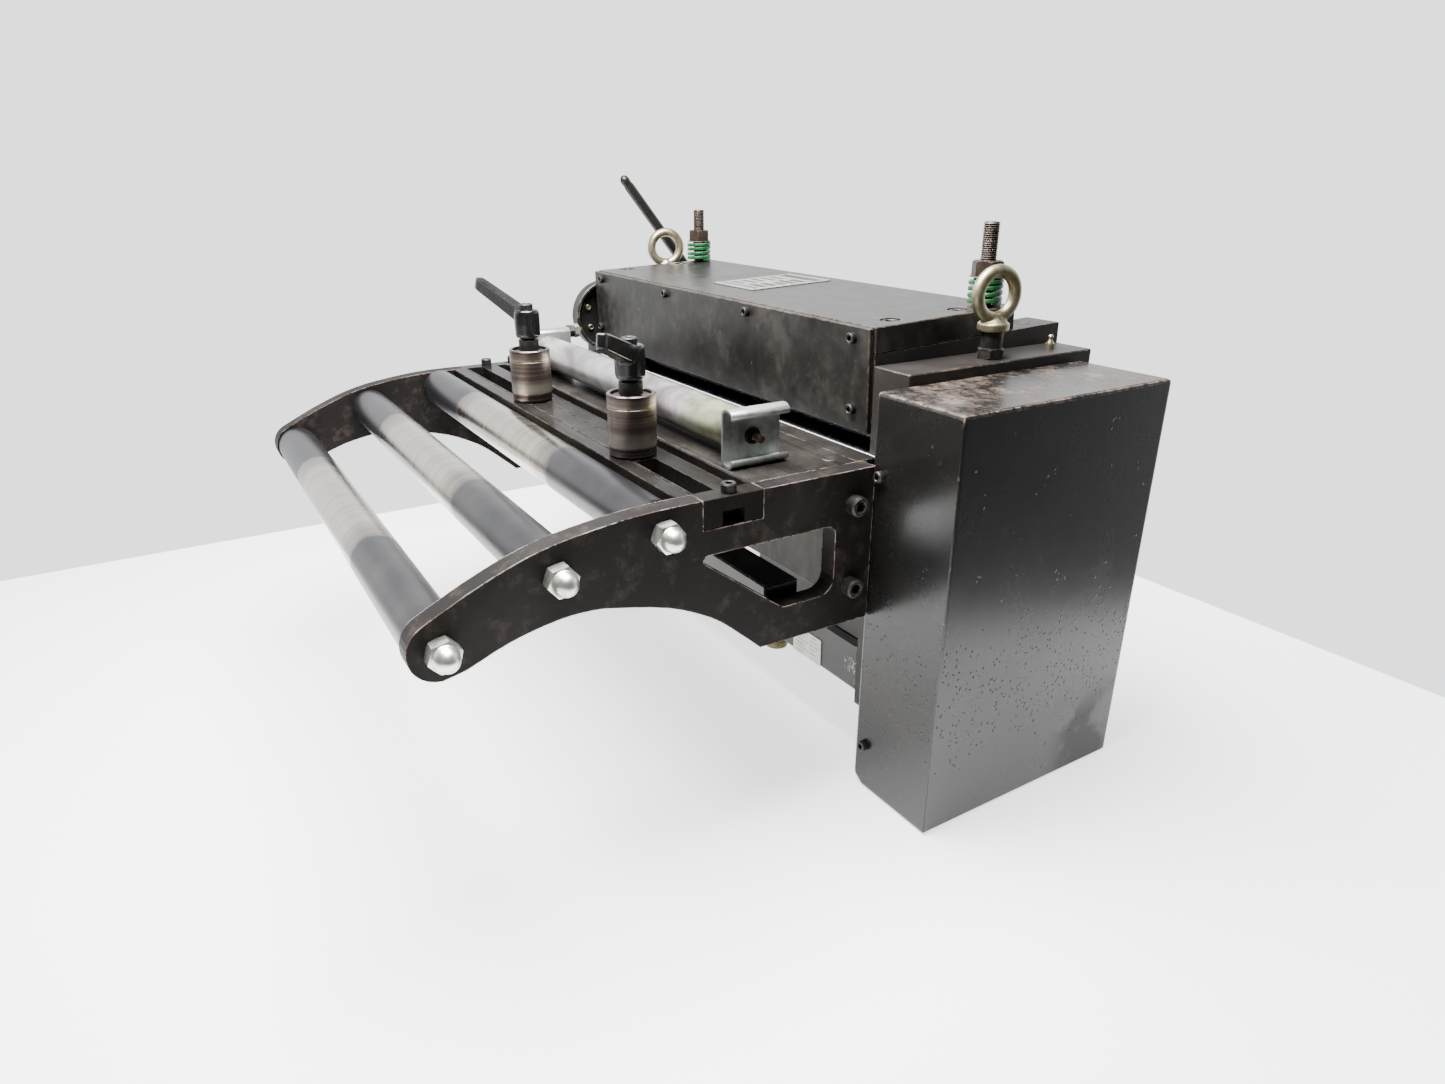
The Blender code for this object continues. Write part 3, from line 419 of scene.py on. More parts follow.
# ---------------------------------------------------------------- special looks
def guard_look():
    """Gloss black sheet: top rubbed to brown and steel, pimpled sides, knocked edges."""
    look = Look("guard_black", (0.010, 0.009, 0.0085), 0.3, specular=0.40)
    height, along, across = look.axis("Z"), look.axis("Y"), look.axis("X")
    paint = look.ramp([
        (0.3, (0.004, 0.004, 0.004)), (0.55, (0.006, 0.0055, 0.005)), (0.8, (0.012, 0.010, 0.009)),
    ], look.noise(7.0, 5.0))
    top = look.step(height, -3.4, -0.8)
    cloud = look.noise(17.0, 9.0, 0.70, shift=1.0)
    fine = look.noise(130.0, 8.0, 0.80, shift=4.0)
    wear = look.math("ADD", look.times(cloud, 0.52), look.times(fine, 0.48))
    brown = look.times(top, look.step(wear, 0.47, 0.55))
    steel = look.times(top, look.step(wear, 0.55, 0.60))
    paint = look.over(paint, (0.052, 0.036, 0.027), brown, 0.75)
    paint = look.over(paint, (0.115, 0.103, 0.092), steel, 0.6)
    specks = look.step(look.noise(230.0, 3.0, 0.7, shift=6.0), 0.73, 0.76)
    paint = look.over(paint, (0.17, 0.085, 0.05), specks, 0.5)
    knocks = look.noise(140.0, 8.0, 0.78, shift=2.0)
    edge_any = look.times(look.edges(1.7), look.step(knocks, 0.57, 0.62))
    upper = look.step(height, -8.0, -3.2)
    edge_near = look.times(look.times(look.edges(2.4), upper), look.step(knocks, 0.46, 0.52))
    worn = look.math("MAXIMUM", edge_any, edge_near)
    tan = look.mix(look.step(look.noise(60.0, 4.0), 0.42, 0.58), (0.40, 0.33, 0.27), (0.16, 0.095, 0.065))
    look.color(look.mix(worn, paint, tan))
    gloss = look.spread(look.noise(16.0, 6.0, 0.6, shift=5.0), 0.20, 0.34)
    patch = look.times(look.between(along, 175.0, 268.0, 22.0), look.step(height, -290.0, -345.0))
    patch = look.times(patch, look.step(look.noise(15.0, 4.0, shift=7.0), 0.40, 0.52))
    gloss = look.blend(look.times(patch, look.step(across, -4.0, -1.0)), gloss, 0.55)
    gloss = look.blend(look.times(brown, 0.8), gloss, 0.48)
    pimples = look.step(look.cells(190.0), 0.27, 0.10)
    low = look.between(height, -325.0, -215.0, 40.0)
    rare = look.noise(55.0, 2.0, shift=4.0)
    shown = look.step(look.math("ADD", rare, look.times(low, 0.26)), 0.64, 0.70)
    raised = look.times(pimples, shown)
    gloss = look.blend(look.times(raised, 0.8), gloss, 0.60)
    look.rough(look.blend(worn, gloss, 0.55))
    look.bump(raised, 0.9)
    look.bump(look.noise(240.0, 3.0, 0.5, stretch=(1, 1, 0.3)), 0.035)
    look.bump(worn, -0.06)
    return look


def cover_look():
    """Oil-dark brown steel plate: cloudy, faintly streaked, rusty along its edges."""
    look = Look("cover_dark_steel", (0.040, 0.036, 0.033), 0.36, 0.20, specular=0.30)
    runs = look.noise(85.0, 7.0, 0.66, stretch=(1.0, 1.0, 0.75))
    cloud = look.noise(16.0, 8.0, 0.66, shift=3.0)
    mixed = look.math("ADD", look.times(runs, 0.4), look.times(cloud, 0.6))
    skin = look.ramp([
        (0.38, (0.006, 0.0056, 0.005)), (0.50, (0.013, 0.012, 0.0105)), (0.62, (0.032, 0.029, 0.026)),
    ], mixed)
    rust = look.step(look.noise(150.0, 5.0, 0.7, shift=8.0), 0.66, 0.72)
    skin = look.over(skin, (0.20, 0.11, 0.055), rust, 0.55)
    knocks = look.noise(150.0, 5.0, 0.7, shift=2.0)
    worn = look.times(look.edges(1.4), look.step(knocks, 0.44, 0.54))
    look.color(look.over(skin, (0.20, 0.14, 0.105), worn, 0.75))
    look.rough(look.spread(cloud, 0.20, 0.52))
    look.bump(look.noise(300.0, 4.0, 0.6), 0.03)
    return look


def roller_look():
    """Dark roller with the strip's bright worn band in its middle."""
    look = Look("entry_roller_steel", (0.12, 0.12, 0.125), 0.36, 0.75, specular=0.35)
    along = look.axis("X")
    wander = look.times(look.math("SUBTRACT", look.noise(22.0, 5.0, shift=1.0), 0.5), 22.0)
    placed = look.math("ADD", along, wander)
    band = look.between(placed, WORN_BAND[0], WORN_BAND[1], 7.0)
    heart = look.between(placed, WORN_BAND[0] + 30.0, WORN_BAND[1] - 30.0, 22.0)
    rings = look.noise(170.0, 5.0, 0.6, stretch=(1.0, 0.008, 0.008))
    dark = look.ramp([
        (0.3, (0.028, 0.028, 0.031)), (0.55, (0.040, 0.039, 0.042)), (0.8, (0.061, 0.058, 0.057)),
    ], look.noise(25.0, 4.0))
    brown = look.ramp([(0.30, (0.21, 0.185, 0.165)), (0.70, (0.30, 0.270, 0.243))], rings)
    light = look.ramp([
        (0.28, (0.37, 0.340, 0.290)), (0.5, (0.46, 0.428, 0.370)), (0.78, (0.56, 0.526, 0.465))], rings)
    look.color(look.mix(band, dark, look.mix(heart, brown, light)))
    look.metal(look.spread(band, 0.80, 1.0))
    look.rough(look.blend(band, 0.34, look.spread(rings, 0.18, 0.32)))
    look.bump(rings, 0.008)
    return look


def guide_look():
    """Turned guide roller: dark rims and brown bands worn by the strip's edge."""
    look = Look("guide_roller_steel", (0.30, 0.26, 0.22), 0.33, 0.85)
    place = look.math("DIVIDE", look.math("SUBTRACT", look.axis("Z"), TABLE_Z), 57.0)
    bands = look.ramp([
        (0.00, (0.030, 0.019, 0.018)), (0.150, (0.036, 0.024, 0.022)), (0.165, (0.27, 0.25, 0.21)),
        (0.27, (0.235, 0.215, 0.185)), (0.36, (0.20, 0.18, 0.16)), (0.44, (0.080, 0.058, 0.053)),
        (0.66, (0.078, 0.056, 0.052)), (0.765, (0.105, 0.082, 0.068)), (0.775, (0.25, 0.22, 0.17)),
        (0.795, (0.11, 0.085, 0.068)), (0.815, (0.26, 0.225, 0.175)), (0.845, (0.12, 0.095, 0.078)),
        (0.94, (0.10, 0.078, 0.066)), (0.965, (0.040, 0.024, 0.024)), (1.0, (0.10, 0.085, 0.078)),
    ], place)
    turns = look.noise(420.0, 3.0, 0.6, stretch=(0.008, 0.008, 1.0))
    look.color(look.over(bands, (0.42, 0.38, 0.32), look.step(turns, 0.48, 0.66), 0.14))
    look.rough(look.spread(turns, 0.22, 0.42))
    look.bump(turns, 0.015)
    return look


def tube_look():
    """Galvanised tube: cloudy grey and lilac patches, greenish toward the guard."""
    look = Look("hold_down_zinc", (0.60, 0.62, 0.56), 0.33, 0.88)
    blotch = look.noise(13.0, 6.0, 0.6, distort=0.6)
    cool = look.ramp([
        (0.34, (0.16, 0.138, 0.134)), (0.44, (0.31, 0.283, 0.278)), (0.54, (0.49, 0.468, 0.466)),
        (0.68, (0.68, 0.67, 0.66))], blotch)
    warm = look.ramp([
        (0.34, (0.21, 0.21, 0.13)), (0.50, (0.40, 0.41, 0.28)), (0.68, (0.58, 0.60, 0.46))], blotch)
    skin = look.mix(look.step(look.axis("X"), -275.0, -225.0), cool, warm)
    smear = look.step(look.noise(50.0, 6.0, 0.7, stretch=(0.4, 1, 1), shift=5.0), 0.57, 0.70)
    skin = look.over(skin, (0.17, 0.14, 0.11), smear, 0.45)
    look.color(skin)
    look.rough(look.spread(look.noise(60.0, 6.0, shift=2.0), 0.22, 0.44))
    look.bump(look.noise(240.0, 3.0), 0.03)
    return look


def table_look(name, shine, veil):
    """Dark worn table plates: fine lines along X, oily stains and a painted highlight along the rear edge.
    """
    look = Look(name, (0.060, 0.052, 0.046), 0.36, 0.55, specular=shine)
    along, depth = look.axis("X"), look.axis("Y")
    lines = look.noise(150.0, 5.0, 0.65, stretch=(0.05, 1.0, 1.0), shift=2.0)
    cloud = look.noise(17.0, 7.0, 0.62)
    skin = look.ramp([
        (0.30, (0.006, 0.0054, 0.005)), (0.50, (0.013, 0.011, 0.0097)), (0.74, (0.034, 0.031, 0.0285)),
    ], cloud)
    skin = look.over(skin, (0.052, 0.047, 0.043), look.step(lines, 0.46, 0.68), 0.20)
    stains = look.step(look.noise(38.0, 6.0, 0.7, shift=8.0), 0.62, 0.70)
    skin = look.over(skin, (0.012, 0.010, 0.010), stains, 0.7)
    worn = look.times(look.edges(0.8), look.step(look.noise(80.0, 4.0, shift=4.0), 0.42, 0.55))
    skin = look.over(skin, (0.50, 0.45, 0.41), worn, 0.30)
    # Painted highlight: a bluish-white line of reflected light painted along the rear edge, where metal is
    # switched off.
    rear = look.times(look.step(depth, 15.8, 16.5), look.step(look.noise(90.0, 4.0, shift=7.0), 0.28, 0.40))
    skin = look.mix(rear, skin, (0.86, 0.90, 0.96))
    skin = look.mix(veil, skin, (0.004, 0.0038, 0.0036))
    ends = look.math("MAXIMUM", look.step(along, -98.2, -97.4), look.step(along, -719.4, -720.2))
    look.color(look.mix(ends, skin, (0.010, 0.009, 0.0085)))
    open_face = look.math("SUBTRACT", 1.0, look.math("MAXIMUM", rear, ends))
    look.metal(look.times(open_face, shine * 0.85))
    look.rough(look.spread(look.noise(40.0, 6.0, 0.6, stretch=(0.3, 1.0, 1.0), shift=6.0), 0.14, 0.38))
    look.bump(lines, 0.03)
    return look


def spring_look():
    """Green enamel, paler where the wire's edges are worn."""
    look = Look("spring_green_enamel", (0.030, 0.17, 0.040), 0.32)
    worn = look.times(look.edges(0.8), look.step(look.noise(240.0, 4.0), 0.52, 0.6))
    skin = look.ramp([
        (0.3, (0.003, 0.035, 0.010)), (0.55, (0.006, 0.062, 0.018)), (0.8, (0.018, 0.11, 0.036)),
    ], look.noise(70.0, 4.0))
    look.color(look.over(skin, (0.40, 0.45, 0.40), worn, 0.5))
    look.rough(look.spread(look.noise(100.0, 4.0, shift=3.0), 0.24, 0.42))
    look.bump(look.noise(420.0, 2.0), 0.03)
    return look


def label_looks(name, ground, ink, rough):
    """Unlettered plate: a printed border with plain grey bars where entries would stand."""
    look = Look(name, ground, rough, specular=0.25)
    dirt = look.step(look.noise(40.0, 6.0, 0.7), 0.48, 0.70)
    skin = look.over(ground, tuple(c * 0.35 for c in ground), dirt, 0.35)
    look.color(skin)
    look.rough(look.spread(look.noise(90.0, 5.0), rough - 0.08, rough + 0.2))
    look.bump(look.noise(300.0, 2.0), 0.02)
    marks = Look(name + "_bars", ink, 0.5)
    marks.tint([(0.35, ink), (0.75, tuple(c * 1.8 + 0.03 for c in ink))], marks.noise(120.0, 4.0))
    return look, marks


def roll_look():
    """Ground and polished feed roll with fine turning marks."""
    look = Look("ground_roll", (0.20, 0.21, 0.23), 0.12, 1.0)
    rings = look.noise(300.0, 4.0, 0.6, stretch=(1.0, 0.04, 0.04))
    look.tint([(0.3, (0.10, 0.105, 0.12)), (0.55, (0.20, 0.21, 0.23)), (0.8, (0.30, 0.31, 0.33))], rings)
    look.rough(look.spread(rings, 0.07, 0.22))
    look.bump(rings, 0.01)
    return look


def motor_look():
    """Dark grey housing with a scribble of bare scratches near the guard."""
    look = painted("motor_grey_paint", (0.030, 0.030, 0.029), rough=0.46, chips=0.3)
    paint = look.shader.inputs["Base Color"].links[0].from_socket
    twist = look.noise(70.0, 2.0, 0.5, distort=2.5, shift=4.0)
    line = look.between(twist, 0.485, 0.50, 0.004)
    across = look.between(look.axis("X"), -172.0, -146.0, 2.0)
    spot = look.times(across, look.between(look.axis("Z"), -316.0, -300.0, 2.0))
    look.color(look.over(paint, (0.72, 0.70, 0.66), line, spot))
    return look


def enamel_look():
    """Gloss black casting enamel, rubbed to metal along its ridges."""
    look = Look("lever_enamel", (0.0045, 0.0045, 0.0045), 0.22)
    look.tint([(0.35, (0.003, 0.003, 0.003)), (0.7, (0.007, 0.0065, 0.0065))], look.noise(60.0, 4.0))
    knocks = look.step(look.noise(150.0, 5.0, 0.7, shift=3.0), 0.42, 0.54)
    worn = look.times(look.ridges(0.525, 0.565), knocks)
    paint = look.shader.inputs["Base Color"].links[0].from_socket
    look.color(look.over(paint, (0.40, 0.39, 0.37), worn, 0.85))
    look.rough(look.blend(worn, look.spread(look.noise(70.0, 4.0, shift=6.0), 0.16, 0.30), 0.42))
    look.bump(look.noise(260.0, 3.0), 0.04)
    return look


def bar_look():
    """Plain blackened round bar with a soft sheen."""
    look = Look("release_bar", (0.010, 0.009, 0.0085), 0.30, 0.3)
    look.tint([(0.35, (0.007, 0.0064, 0.006)), (0.7, (0.016, 0.0135, 0.012))], look.noise(18.0, 4.0))
    look.rough(look.spread(look.noise(40.0, 4.0, shift=3.0), 0.24, 0.36))
    look.bump(look.noise(300.0, 2.0), 0.008)
    return look


def rubber_look():
    """Matt black rubber."""
    look = Look("belt_rubber", (0.022, 0.022, 0.022), 0.75)
    look.tint([(0.3, (0.014, 0.014, 0.014)), (0.7, (0.04, 0.04, 0.04))], look.noise(90.0, 4.0))
    look.bump(look.noise(420.0, 4.0), 0.08)
    return look


# ---------------------------------------------------------------- mesh helpers
TURN = {
    "X": Matrix(((0, 0, 1), (1, 0, 0), (0, 1, 0))),
    "-X": Matrix(((0, 0, -1), (1, 0, 0), (0, -1, 0))),
    "Y": Matrix(((1, 0, 0), (0, 0, 1), (0, -1, 0))),
    "-Y": Matrix(((1, 0, 0), (0, 0, -1), (0, 1, 0))),
    "Z": Matrix.Identity(3),
}


def turned(base, turn, radius, angle, height):
    """Point at a radius, angle and height about the axis that starts at base."""
    return Vector(base) + turn @ Vector((radius * math.cos(angle), radius * math.sin(angle), height))


class Form:
    """A mesh in the making. Points are millimetres in the datum."""

    def __init__(self):
        self.bm = bmesh.new()

    def rings(self, loops, joined=False):
        """Skins a list of loops; a loop of one point is a pole."""
        rows = [[self.bm.verts.new(at(*p)) for p in loop] for loop in loops]
        pairs = list(zip(rows, rows[1:]))
        if joined:
            pairs.append((rows[-1], rows[0]))
        for a, b in pairs:
            size = max(len(a), len(b))
            for i in range(size):
                j = (i + 1) % size
                corners = [a[i % len(a)], a[j % len(a)], b[j % len(b)], b[i % len(b)]]
                unique = [v for n, v in enumerate(corners) if v not in corners[:n]]
                if len(unique) > 2:
                    self.bm.faces.new(unique)
        return rows

    def close(self, rows):
        """Caps the first and the last of a skin's loops."""
        self.bm.faces.new(rows[0])
        self.bm.faces.new(rows[-1][::-1])

    def lathe(self, base, axis, profile, steps=64):
        """Turned body. profile lists (radius, height), and a radius of 0 is a pole."""
        turn = axis if isinstance(axis, Matrix) else TURN[axis]
        loops = []
        for radius, height in profile:
            count = steps if radius else 1
            angles = [math.tau * (i + 0.5) / steps for i in range(count)]
            loops.append([turned(base, turn, radius, angle, height) for angle in angles])
        self.rings(loops)
        return self

    def nut(self, base, axis, corner, height, hole, spin=0.0):
        """Hexagon with conical chamfers at both ends, corner is the radius over corners."""
        turn = TURN[axis]
        flat = corner * math.cos(math.pi / 6)
        lead = flat * 0.97
        slope = math.tan(math.radians(30))
        count = 72

        def loop(face, inward, radius=None):
            """Ring at a height, following the hexagon and its chamfer unless it has its own radius."""
            points = []
            for i in range(count):
                angle = math.tau * i / count
                reach = flat / math.cos((angle % (math.pi / 3)) - math.pi / 6)
                height_here = face + inward * (reach - lead) * slope
                points.append(turned(base, turn, radius or reach, angle + spin, height_here))
            return points

        top = [loop(height, 0, hole), loop(height, 0, lead), loop(height, -1)]
        self.rings(top + [loop(0.0, 1), loop(0.0, 0, lead), loop(0.0, 0, hole)], joined=True)
        return self

    def thread(self, base, axis, radius, low, high, pitch, steps=24):
        """Threaded rod with real helical ridges and chamfered ends."""
        turn = TURN[axis]
        rows = int((high - low) / pitch * 2) + 4
        grid = []
        for k in range(steps + 1):
            angle = math.tau * k / steps
            column = []
            for j in range(rows):
                z = low + (j - 2) * pitch / 2 + pitch * k / steps
                depth = 0.0 if j % 2 else 0.55 * pitch
                z_kept = min(max(z, low), high)
                inward = 0.6 * pitch if z != z_kept else depth
                column.append(self.bm.verts.new(at(*turned(base, turn, radius - inward, angle, z_kept))))
            grid.append(column)
        for k in range(steps):
            for j in range(rows - 1):
                self.bm.faces.new((grid[k][j], grid[k + 1][j], grid[k + 1][j + 1], grid[k][j + 1]))
        bmesh.ops.remove_doubles(self.bm, verts=self.bm.verts, dist=0.00001)
        core = radius - 0.62 * pitch
        self.lathe(base, axis, [
            (0, high + 0.3), (core * 0.8, high + 0.3), (core, high - 1.0), (core, low + 1.0),
            (core * 0.8, low - 0.3), (0, low - 0.3)], steps)
        return self

    def box(self, xs, ys, zs, bevel, segments=2):
        """Block between two limits on each axis, with its edges eased."""
        low, high = at(xs[0], ys[0], zs[0]), at(xs[1], ys[1], zs[1])
        place = Matrix.Translation((low + high) / 2) @ Matrix.Diagonal((*(high - low), 1.0))
        made = bmesh.ops.create_cube(self.bm, size=1.0, matrix=place)
        edges = list({edge for vert in made["verts"] for edge in vert.link_edges})
        self.ease(edges, bevel, segments)
        return self

    def ease(self, edges, width, segments=2):
        """Rounds edges by that many millimetres."""
        bmesh.ops.bevel(
            self.bm, geom=edges, offset=width / 1000, segments=segments, affect="EDGES", profile=0.5)

    def prism(self, section, limits, bevel):
        """Outline in X and Z extruded along Y, with its end rims eased."""
        rows = self.rings([[(x, y, z) for x, z in section] for y in limits])
        self.close(rows)
        rims = [edge for edge in self.bm.edges if (edge.verts[0] in rows[0]) == (edge.verts[1] in rows[0])]
        self.ease(rims, bevel)
        return self

    def torus(self, centre, normal, major, minor, squash, count=72, sides=24):
        """Upright ring of round bar; squash widens the bar along the ring's axis."""
        across = Vector((0, 0, 1))
        flat = Vector(normal).normalized()
        side = across.cross(flat).normalized()
        loops = []
        for i in range(count):
            a = math.tau * i / count
            out = side * math.cos(a) + across * math.sin(a)
            loop = []
            for k in range(sides):
                b = math.tau * k / sides
                reach = major + minor * math.cos(b)
                loop.append(Vector(centre) + out * reach + flat * (minor * squash * math.sin(b)))
            loops.append(loop)
        self.rings(loops, joined=True)
        return self

    def sweep(self, path, section):
        """Section of (side, up) points carried along a path of (point, side, up, scale)."""
        loops = []
        for point, side, up, scale in path:
            wide, tall = scale
            loops.append([Vector(point) + side * (a * wide) + up * (b * tall) for a, b in section])
        self.close(self.rings(loops))
        return self

    def done(self, name, look, body, slot, stands_for=(), smooth=35.0, melt=0.0, pose=None):
        """Turns the form into a piece. melt voxel-joins its solids at that size in millimetres."""
        bmesh.ops.recalc_face_normals(self.bm, faces=self.bm.faces)
        if pose is not None:
            bmesh.ops.transform(self.bm, matrix=pose, verts=self.bm.verts)
        mesh = bpy.data.meshes.new(name)
        self.bm.to_mesh(mesh)
        self.bm.free()
        obj = bpy.data.objects.new(name, mesh)
        bpy.context.scene.collection.objects.link(obj)
        if melt:
            obj = melted(obj, melt)
        obj.data.materials.clear()
        obj.data.materials.append(look.mat)
        obj.data.shade_smooth()
        if smooth < 180:
            obj.data.set_sharp_from_angle(angle=math.radians(smooth))
        if stands_for:
            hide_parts(*stands_for)
        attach(obj, body)
        return obj


def melted(obj, size):
    """Voxel-joins overlapping solids and eases the corners, for cast and forged pieces."""
    remesh = obj.modifiers.new("melt", "REMESH")
    remesh.mode = "VOXEL"
    remesh.voxel_size = size / 1000
    calm = obj.modifiers.new("ease", "SMOOTH")
    calm.factor = 0.5
    calm.iterations = 3
    graph = bpy.context.evaluated_depsgraph_get()
    mesh = bpy.data.meshes.new_from_object(obj.evaluated_get(graph))
    mesh.name = obj.name
    old = obj.data
    obj.modifiers.clear()
    obj.data = mesh
    bpy.data.meshes.remove(old)
    return obj


def tilted():
    """Matrix of the yoke's resting tilt, for pieces drawn square to it."""
    pivot = at(*YOKE_PIVOT)
    return Matrix.Translation(pivot) @ Matrix.Rotation(YOKE_TILT, 4, "X") @ Matrix.Translation(-pivot)


def socket_head(form, seat, axis, radius, height):
    """Socket cap head: rim, chamfer and a recess that six wedges make hexagonal."""
    hexagon = radius * 0.56
    form.lathe(seat, axis, [
        (0, height * 0.35), (hexagon * 0.98, height * 0.35), (hexagon, height * 0.36),
        (hexagon, height * 0.93), (hexagon * 1.12, height), (radius * 0.86, height), (radius, height * 0.86),
        (radius, 0.25), (radius * 0.97, 0.0), (0, 0.0)], 48)
    turn = TURN[axis]
    sixth = math.tau / 6
    for i in range(6):
        wedge = ((1.02, i), (1.02, i + 1), (1.06, i + 0.5))
        form.close(form.rings([
            [turned(seat, turn, hexagon * out, sixth * place, z) for out, place in wedge]
            for z in (height * 0.36, height * 0.95)]))


def cap_screws(name, look, slot, spots, axis, radius, height, body="machine", stands_for=(), pose=None):
    """One piece made of the heads of several like cap screws."""
    heads = Form()
    for seat in spots:
        socket_head(heads, seat, axis, radius, height)
    heads.done(name, look, body, slot, stands_for, pose=pose)


# ---------------------------------------------------------------- looks used by many pieces
BLACK = painted("machine_black", (0.0065, 0.006, 0.0055), rough=0.42, chips=0.42, shine=0.35)
ARM_BLACK = painted(
    "arm_black", (0.0060, 0.0050, 0.0046), rough=0.50, chips=0.95, bare=(0.50, 0.41, 0.36), reach=1.4,
    shine=0.11, dust=0.27)
FRAME = painted(
    "frame_black", (0.013, 0.011, 0.010), rough=0.42, chips=0.5, bare=(0.24, 0.17, 0.13), shine=0.28,
    dust=0.09)
ENAMEL = enamel_look()
LEVER_BAR = bar_look()
STUD = rubbed("stud_steel", (0.040, 0.027, 0.019), rough=0.40, bright=0.30)
OXIDE = rubbed("black_oxide", (0.018, 0.016, 0.0155), bright=0.28)
GUARD = guard_look()
COVER = cover_look()
TABLE = table_look("table_worn_steel", 0.14, 0.0)
SLIDE = table_look("slide_oiled_steel", 0.04, 0.55)
GREY_PLATE = pitted_look()
ZINC = plated(
    "zinc_plate", ((0.38, 0.38, 0.34), (0.60, 0.60, 0.54), (0.78, 0.78, 0.72)), rough=0.26, stain=0.25)
BRACKET_ZINC = plated(
    "bracket_zinc", ((0.30, 0.33, 0.33), (0.46, 0.49, 0.47), (0.66, 0.68, 0.62)), rough=0.32, stain=0.35,
    stain_tone=(0.20, 0.13, 0.07))
YELLOW_ZINC = plated(
    "eye_yellow_zinc", ((0.17, 0.15, 0.085), (0.29, 0.26, 0.165), (0.43, 0.40, 0.28)), rough=0.32, stain=0.3,
    stain_tone=(0.22, 0.15, 0.08))
RUSTY = rubbed("rusty_bolt", (0.10, 0.055, 0.035), bright=0.5)
ROLLER = roller_look()
GUIDE = guide_look()
TUBE = tube_look()
SPRING = spring_look()
ROLL = roll_look()
RUBBER = rubber_look()
MOTOR = motor_look()
OLIVE = plated(
    "olive_shell", ((0.055, 0.050, 0.022), (0.10, 0.09, 0.040), (0.17, 0.155, 0.08)), rough=0.42, stain=0.2)


def repaint(look, *nodes, bevel=0.8):
    """Gives a carried-over CAD node its look and a small edge break."""
    for name in nodes:
        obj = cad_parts[name]
        obj.data.materials.clear()
        obj.data.materials.append(look.mat)
        if bevel:
            mod = obj.modifiers.new("edge_break", "BEVEL")
            mod.width = bevel / 1000
            mod.segments = 2
            mod.limit_method = "ANGLE"
            mod.angle_limit = math.radians(35)
            mod.use_clamp_overlap = True


# ---------------------------------------------------------------- pieces
def build_frames():
    """Looks of the CAD pieces that are kept as they are, and the hinge's hub."""
    repaint(FRAME, "side_frame_right", "side_frame_left", "rear_cross_beam", "arm_block_right",
            "arm_block_left", "motor_mount_plate")
    repaint(BLACK, "arm_cross_beam", bevel=1.0)
    repaint(GREY_PLATE, "lower_front_plate")
    repaint(ARM_BLACK, "entry_arm_right", "entry_arm_left", bevel=0.9)
    repaint(GUARD, "belt_guard", bevel=0)
    repaint(MOTOR, "motor_body", bevel=0)
    repaint(TABLE, "table_inset_plate", "table_rear_lip", bevel=0.5)
    repaint(SLIDE, "table_front_strip", "slotted_slide_plate", bevel=0.5)
    repaint(COVER, "yoke_top_block", "yoke_front_cover", bevel=0.9)
    repaint(FRAME, "yoke_bar_right", "yoke_bar_left", bevel=0.8)
    repaint(OXIDE, "pivot_pin_right", "release_shaft", bevel=0)
    repaint(SLIDE, "guide_post_front", "guide_post_rear", bevel=0)
    repaint(RUBBER, "drive_belt", bevel=0)

    hinge_y, hinge_z = YOKE_PIVOT[1:]
    hub = Form().lathe((-762.0, hinge_y, hinge_z), "X", [
        (0, 34), (7.4, 34), (8, 33), (8, 4), (40, 4), (43, 5), (43.6, 16.6), (44.4, 17.6), (47, 17.7),
        (48, 16.8), (48, 0.6), (47.4, 0), (8, 0), (8, -28.4), (7.4, -29), (0, -29)], 96)
    hub.done("pivot_hub", BLACK, "machine", "frame_paint", ("pivot_hub_left",))
    spots = [
        turned((-758.0, hinge_y, hinge_z), TURN["X"], 28.0, math.radians(angle), 0.0)
        for angle in (35, 155, 215, 275)]
    cap_screws("hub_screws", YELLOW_ZINC, "yellow_zinc", spots, "X", 4.0, 4.0)

    nipple = Form().lathe((-125.0, 242.0, 9.6), "Z", [
        (0, 13.6), (1.6, 13.6), (2.6, 12.4), (2.6, 11.0), (1.6, 9.8), (1.8, 8.2), (3.4, 6.4), (3.6, 5.0),
        (4.6, 5.0), (4.6, 0.0), (0, 0)], 24)
    nipple.done("grease_nipple", YELLOW_ZINC, "machine", "yellow_zinc")


def build_arm_hardware():
    """Screws of the arm and of the table."""
    spots = [(-97.0, -24.0, z) for z in (-96.0, -174.0)]
    cap_screws("arm_cap_screws", OXIDE, "black_oxide", spots, "X", 9.0, 11.0)
    spots = [(x, y, TABLE_Z + 0.2) for x, y in ((-106.0, -147.0), (-711.0, -145.0), (-711.0, -109.0))]
    cap_screws(
        "table_cap_screws", OXIDE, "black_oxide", spots, "Z", 6.5, 8.0,
        stands_for=("table_screw_right", "table_screw_left"))
    sunk = Form()
    for x, y in ((-135.0, -22.0), (-682.0, -22.0)):
        sunk.lathe((x, y, TABLE_Z + 0.15), "Z", [
            (0, 0.1), (2.6, 0.1), (2.6, 0.5), (6.4, 0.5), (7.0, 0.05), (7.0, -0.1), (0, -0.1)], 32)
    sunk.done("countersunk_screws", OXIDE, "machine", "black_oxide")


